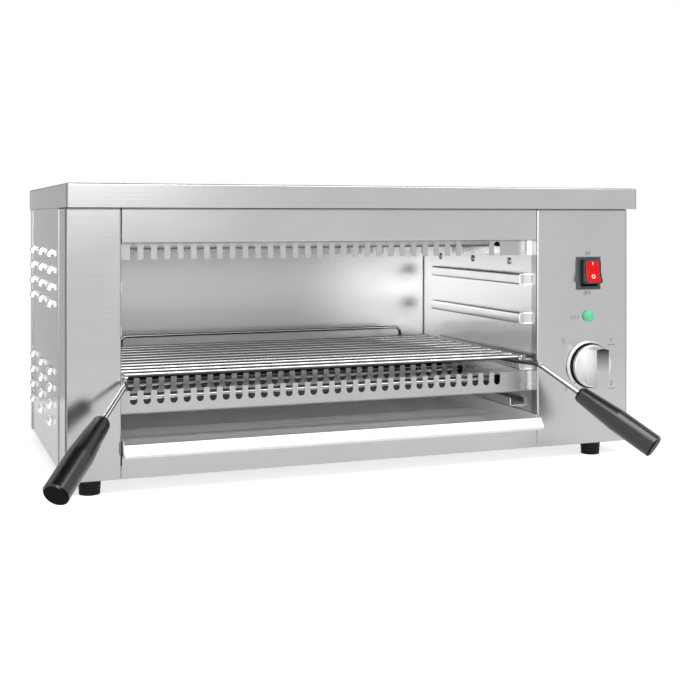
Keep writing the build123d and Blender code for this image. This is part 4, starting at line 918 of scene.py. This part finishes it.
def rail_fold(bend, channel):
    """Points (out, up) from the top along one face of the sheet: flange and bend of a channel, or the cut
    edge of an angle, then the web, the lower bend and the lower flange."""
    out = RAIL_REACH - RAIL_BEND
    upper = np.vstack([(0.0, bend - RAIL_BEND), arc((out, -RAIL_BEND), (bend, bend), 90, 0, 7)])
    lower = arc((out, RAIL_BEND - RAIL_DROP), (bend, bend), 0, -90, 7)
    start = upper if channel else np.array([(out + bend, -ANGLE_CUT)])
    return np.vstack([start, lower, (0.0, RAIL_BEND - bend - RAIL_DROP)])


def folded_rail(wall, into, top, front, channel):
    """Folded rail on a wall: at each point of the fold, a rectangle from the outer to the inner face of the
    sheet and from the front to the rear end."""
    outer, inner = rail_fold(RAIL_BEND, channel), rail_fold(RAIL_BEND - RAIL_SHEET, channel)
    first, second = (front, RAIL_REAR) if into < 0 else (RAIL_REAR, front)
    corners = ((outer, first), (outer, second), (inner, second), (inner, first))
    ring = [np.stack([wall + into * face[:, 0], np.full(len(face), y), top + face[:, 1]], axis=-1)
            for face, y in corners]
    return skin_rings(np.stack(ring, axis=1) * MM)


def end_tab(wall, into, top, front):
    """Plate that fills the channel between its faces, set in from the front: a front and a rear rectangle."""
    left, right = sorted((wall, wall + into * (RAIL_REACH - RAIL_SHEET)))
    high, low = top - RAIL_SHEET, top + RAIL_SHEET - RAIL_DROP
    depths = (front + TAB_INSET, front + TAB_INSET + RAIL_SHEET)
    rows = [[(left, y, high), (right, y, high), (right, y, low), (left, y, low)] for y in depths]
    return skin_rings(np.array(rows) * MM)


tabs = []
for side, wall, into in WALLS:
    rails = [folded_rail(wall, into, top, RAIL_FRONT, channel=True) for top in CHANNEL_TOPS]
    rails.append(folded_rail(wall, into, ANGLE_TOP, ANGLE_FRONT, channel=False))
    piece = add_piece(f"{side}_rails", rails, liner_side_painted_pale, "cabinet")
    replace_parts(piece, f"{side}_shelf_rails")
    tabs += [end_tab(wall, into, top, RAIL_FRONT) for top in CHANNEL_TOPS]
add_piece("rail_end_tabs", tabs, tab_steel, "cabinet")

# %% [markdown]
# ## Screws with a drive
# The solids have plain round heads. A real pan head is domed and has a cross recess. Cutting a cross with a
# boolean gives messy faces, so the head is one surface instead: rings along the profile from the tip of the
# shank to the crown, and near the crown the height drops wherever a point lies inside one of the cross's
# arms.

# %% Cross-recessed screw
TIP_SHARE, TIP_LENGTH_SHARE = 0.6, 0.4
RIM_SHARE, DOME_BASE_SHARE, DOME_RISE_SHARE = 0.42, 0.45, 0.55
CROWN_SHARES = np.array([0.97, 0.9, 0.8, 0.7, 0.62, 0.54, 0.46, 0.38, 0.3, 0.2, 0.1, 0.03])
ARM_HALF_SHARES, ARM_END_SHARES, RECESS_SHARE = (0.1, 0.17), (0.5, 0.62), 0.55


def soft_step(value, low, high):
    """0 below low, 1 above high, with a smooth rise between."""
    share = np.clip((value - low) / (high - low), 0.0, 1.0)
    return share * share * (3 - 2 * share)


def pan_screw(place, out, shank, head, thick, length, columns=48):
    """Pan-head screw at a place in mm: rings of (radius, height) along its axis. The crown is a dome, base +
    rise x sqrt(1 - r^2), less the recess, which is the larger of two crossing arms."""
    out = np.asarray(out, float)
    right = np.cross((0.0, 0.0, 1.0), out) if abs(out[2]) < 0.5 else np.array([1.0, 0.0, 0.0])
    up = np.cross(out, right)
    rim, core = head / 2, shank / 2
    stem = np.array([(TIP_SHARE * core, -length), (core, -length + TIP_LENGTH_SHARE * core), (core, 0.0),
                     (rim, 0.0), (rim, RIM_SHARE * thick)])
    dome = thick * (DOME_BASE_SHARE + DOME_RISE_SHARE * np.sqrt(1 - CROWN_SHARES ** 2))
    radius = np.concatenate([stem[:, 0], CROWN_SHARES * rim])[:, None]
    height = np.concatenate([stem[:, 1], dome])[:, None]
    turn = full_turn(columns)[None, :]
    along, over = radius * np.cos(turn), radius * np.sin(turn)
    aside, beyond = np.abs(along) / rim, np.abs(over) / rim
    arms = [(1 - soft_step(across, *ARM_HALF_SHARES)) * (1 - soft_step(reach, *ARM_END_SHARES))
            for across, reach in ((aside, beyond), (beyond, aside))]
    crown = np.concatenate([np.zeros(len(stem)), np.ones(len(CROWN_SHARES))])[:, None]
    height = height - crown * RECESS_SHARE * thick * np.maximum(*arms)
    ring = np.asarray(place) + along[..., None] * right + over[..., None] * up
    return skin_rings((ring + height[..., None] * out) * MM)


print("screw helpers ready")

# %% Screws of the grill
SHEET_SCREW = {"shank": 4.0, "head": 7.5, "thick": 1.8, "length": 9.0}
FOOT_SCREW = {"shank": 5.0, "head": 9.0, "thick": 3.0, "length": 14.0}
TUBE_ROWS = [middle_mm(f"upper_tube_{number}", 1) for number in (1, 2, 3)]
HOLDER_HEIGHT = middle_mm("holder_screws", 2)
COVER_REAR, COVER_SCREW_HEIGHT = cover_high[1] / MM, middle_mm("cover_screws", 2)
COVER_SCREW_PLACES = (-220.0, 0.0, 220.0)
FOOT_PLACES_X, FOOT_PLACES_Y, FOOT_SEAT = (-280.0, 263.0), (-138.0, 138.0), 6.0

holder = [pan_screw((wall, y, HOLDER_HEIGHT), (into, 0, 0), **SHEET_SCREW)
          for _, wall, into in WALLS for y in TUBE_ROWS]
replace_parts(add_piece("holder_screw_heads", holder, screw_steel, "cabinet"), "holder_screws")
cover = [pan_screw((x, COVER_REAR, COVER_SCREW_HEIGHT), (0, 1, 0), **SHEET_SCREW)
         for x in COVER_SCREW_PLACES]
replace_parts(add_piece("cover_screw_heads", cover, screw_steel, "cabinet"), "cover_screws")
foot = [pan_screw((x, y, FOOT_SEAT), (0, 0, -1), **FOOT_SCREW) for x in FOOT_PLACES_X for y in FOOT_PLACES_Y]
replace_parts(add_piece("foot_screw_heads", foot, screw_steel, "cabinet"), "foot_screws")

# %% [markdown]
# ## Welds of the rack
# Every rod of the rack is spot-welded to the side rods, the handles are welded under the two front rods, and
# the back stop stands on the last one. A spot weld leaves a small smooth collar. A squashed ball at each
# joint, half sunk in the wires, looks just like that, and there are few enough of them to be modelled.

# %% Weld collars
RODS = np.linspace(-132.0, 108.0, 11)
RACK_MIDDLE, RACK_HEIGHT = middle_mm("wire_rack", 0), middle_mm("wire_rack", 2)
SIDE_ROD, SIDE_WELD_INSET = 215.9, 2.1
LEG_REACH, LEG_START, LEG_SLOPE, LEG_WELD_HEIGHT = 217.4, -163.1, math.tan(math.radians(10)), 106.2
STOP_REACH, STOP_WELD_HEIGHT = 175.0, 110.3
SIDE_WELD, LEG_WELD, STOP_WELD = (2.6, 2.5, 2.35), (3.2, 2.6, 1.3), (2.9, 2.5, 1.2)


def weld(place, radii, rows=7, columns=12):
    """Squashed ball in mm: place + radii x (sin v cos u, sin v sin u, -cos v), poles left to the fans."""
    v = np.linspace(0, np.pi, rows + 2)[1:-1, None]
    u = full_turn(columns)[None, :]
    ball = np.stack([np.sin(v) * np.cos(u), np.sin(v) * np.sin(u), -np.cos(v) * np.ones_like(u)], axis=-1)
    return skin_rings((np.asarray(place) + ball * np.asarray(radii)) * MM)


collars = [weld((RACK_MIDDLE + side * (SIDE_ROD - SIDE_WELD_INSET), y, RACK_HEIGHT), SIDE_WELD)
           for y in RODS for side in (-1, 1)]
for side in (-1, 1):
    for y in RODS[:2]:
        leg = RACK_MIDDLE + side * (LEG_REACH - (y - LEG_START) * LEG_SLOPE)
        collars.append(weld((leg, y, LEG_WELD_HEIGHT), LEG_WELD))
    collars.append(weld((RACK_MIDDLE + side * STOP_REACH, RODS[-1], STOP_WELD_HEIGHT), STOP_WELD))
add_piece("rack_welds", collars, wire_steel, "rack")
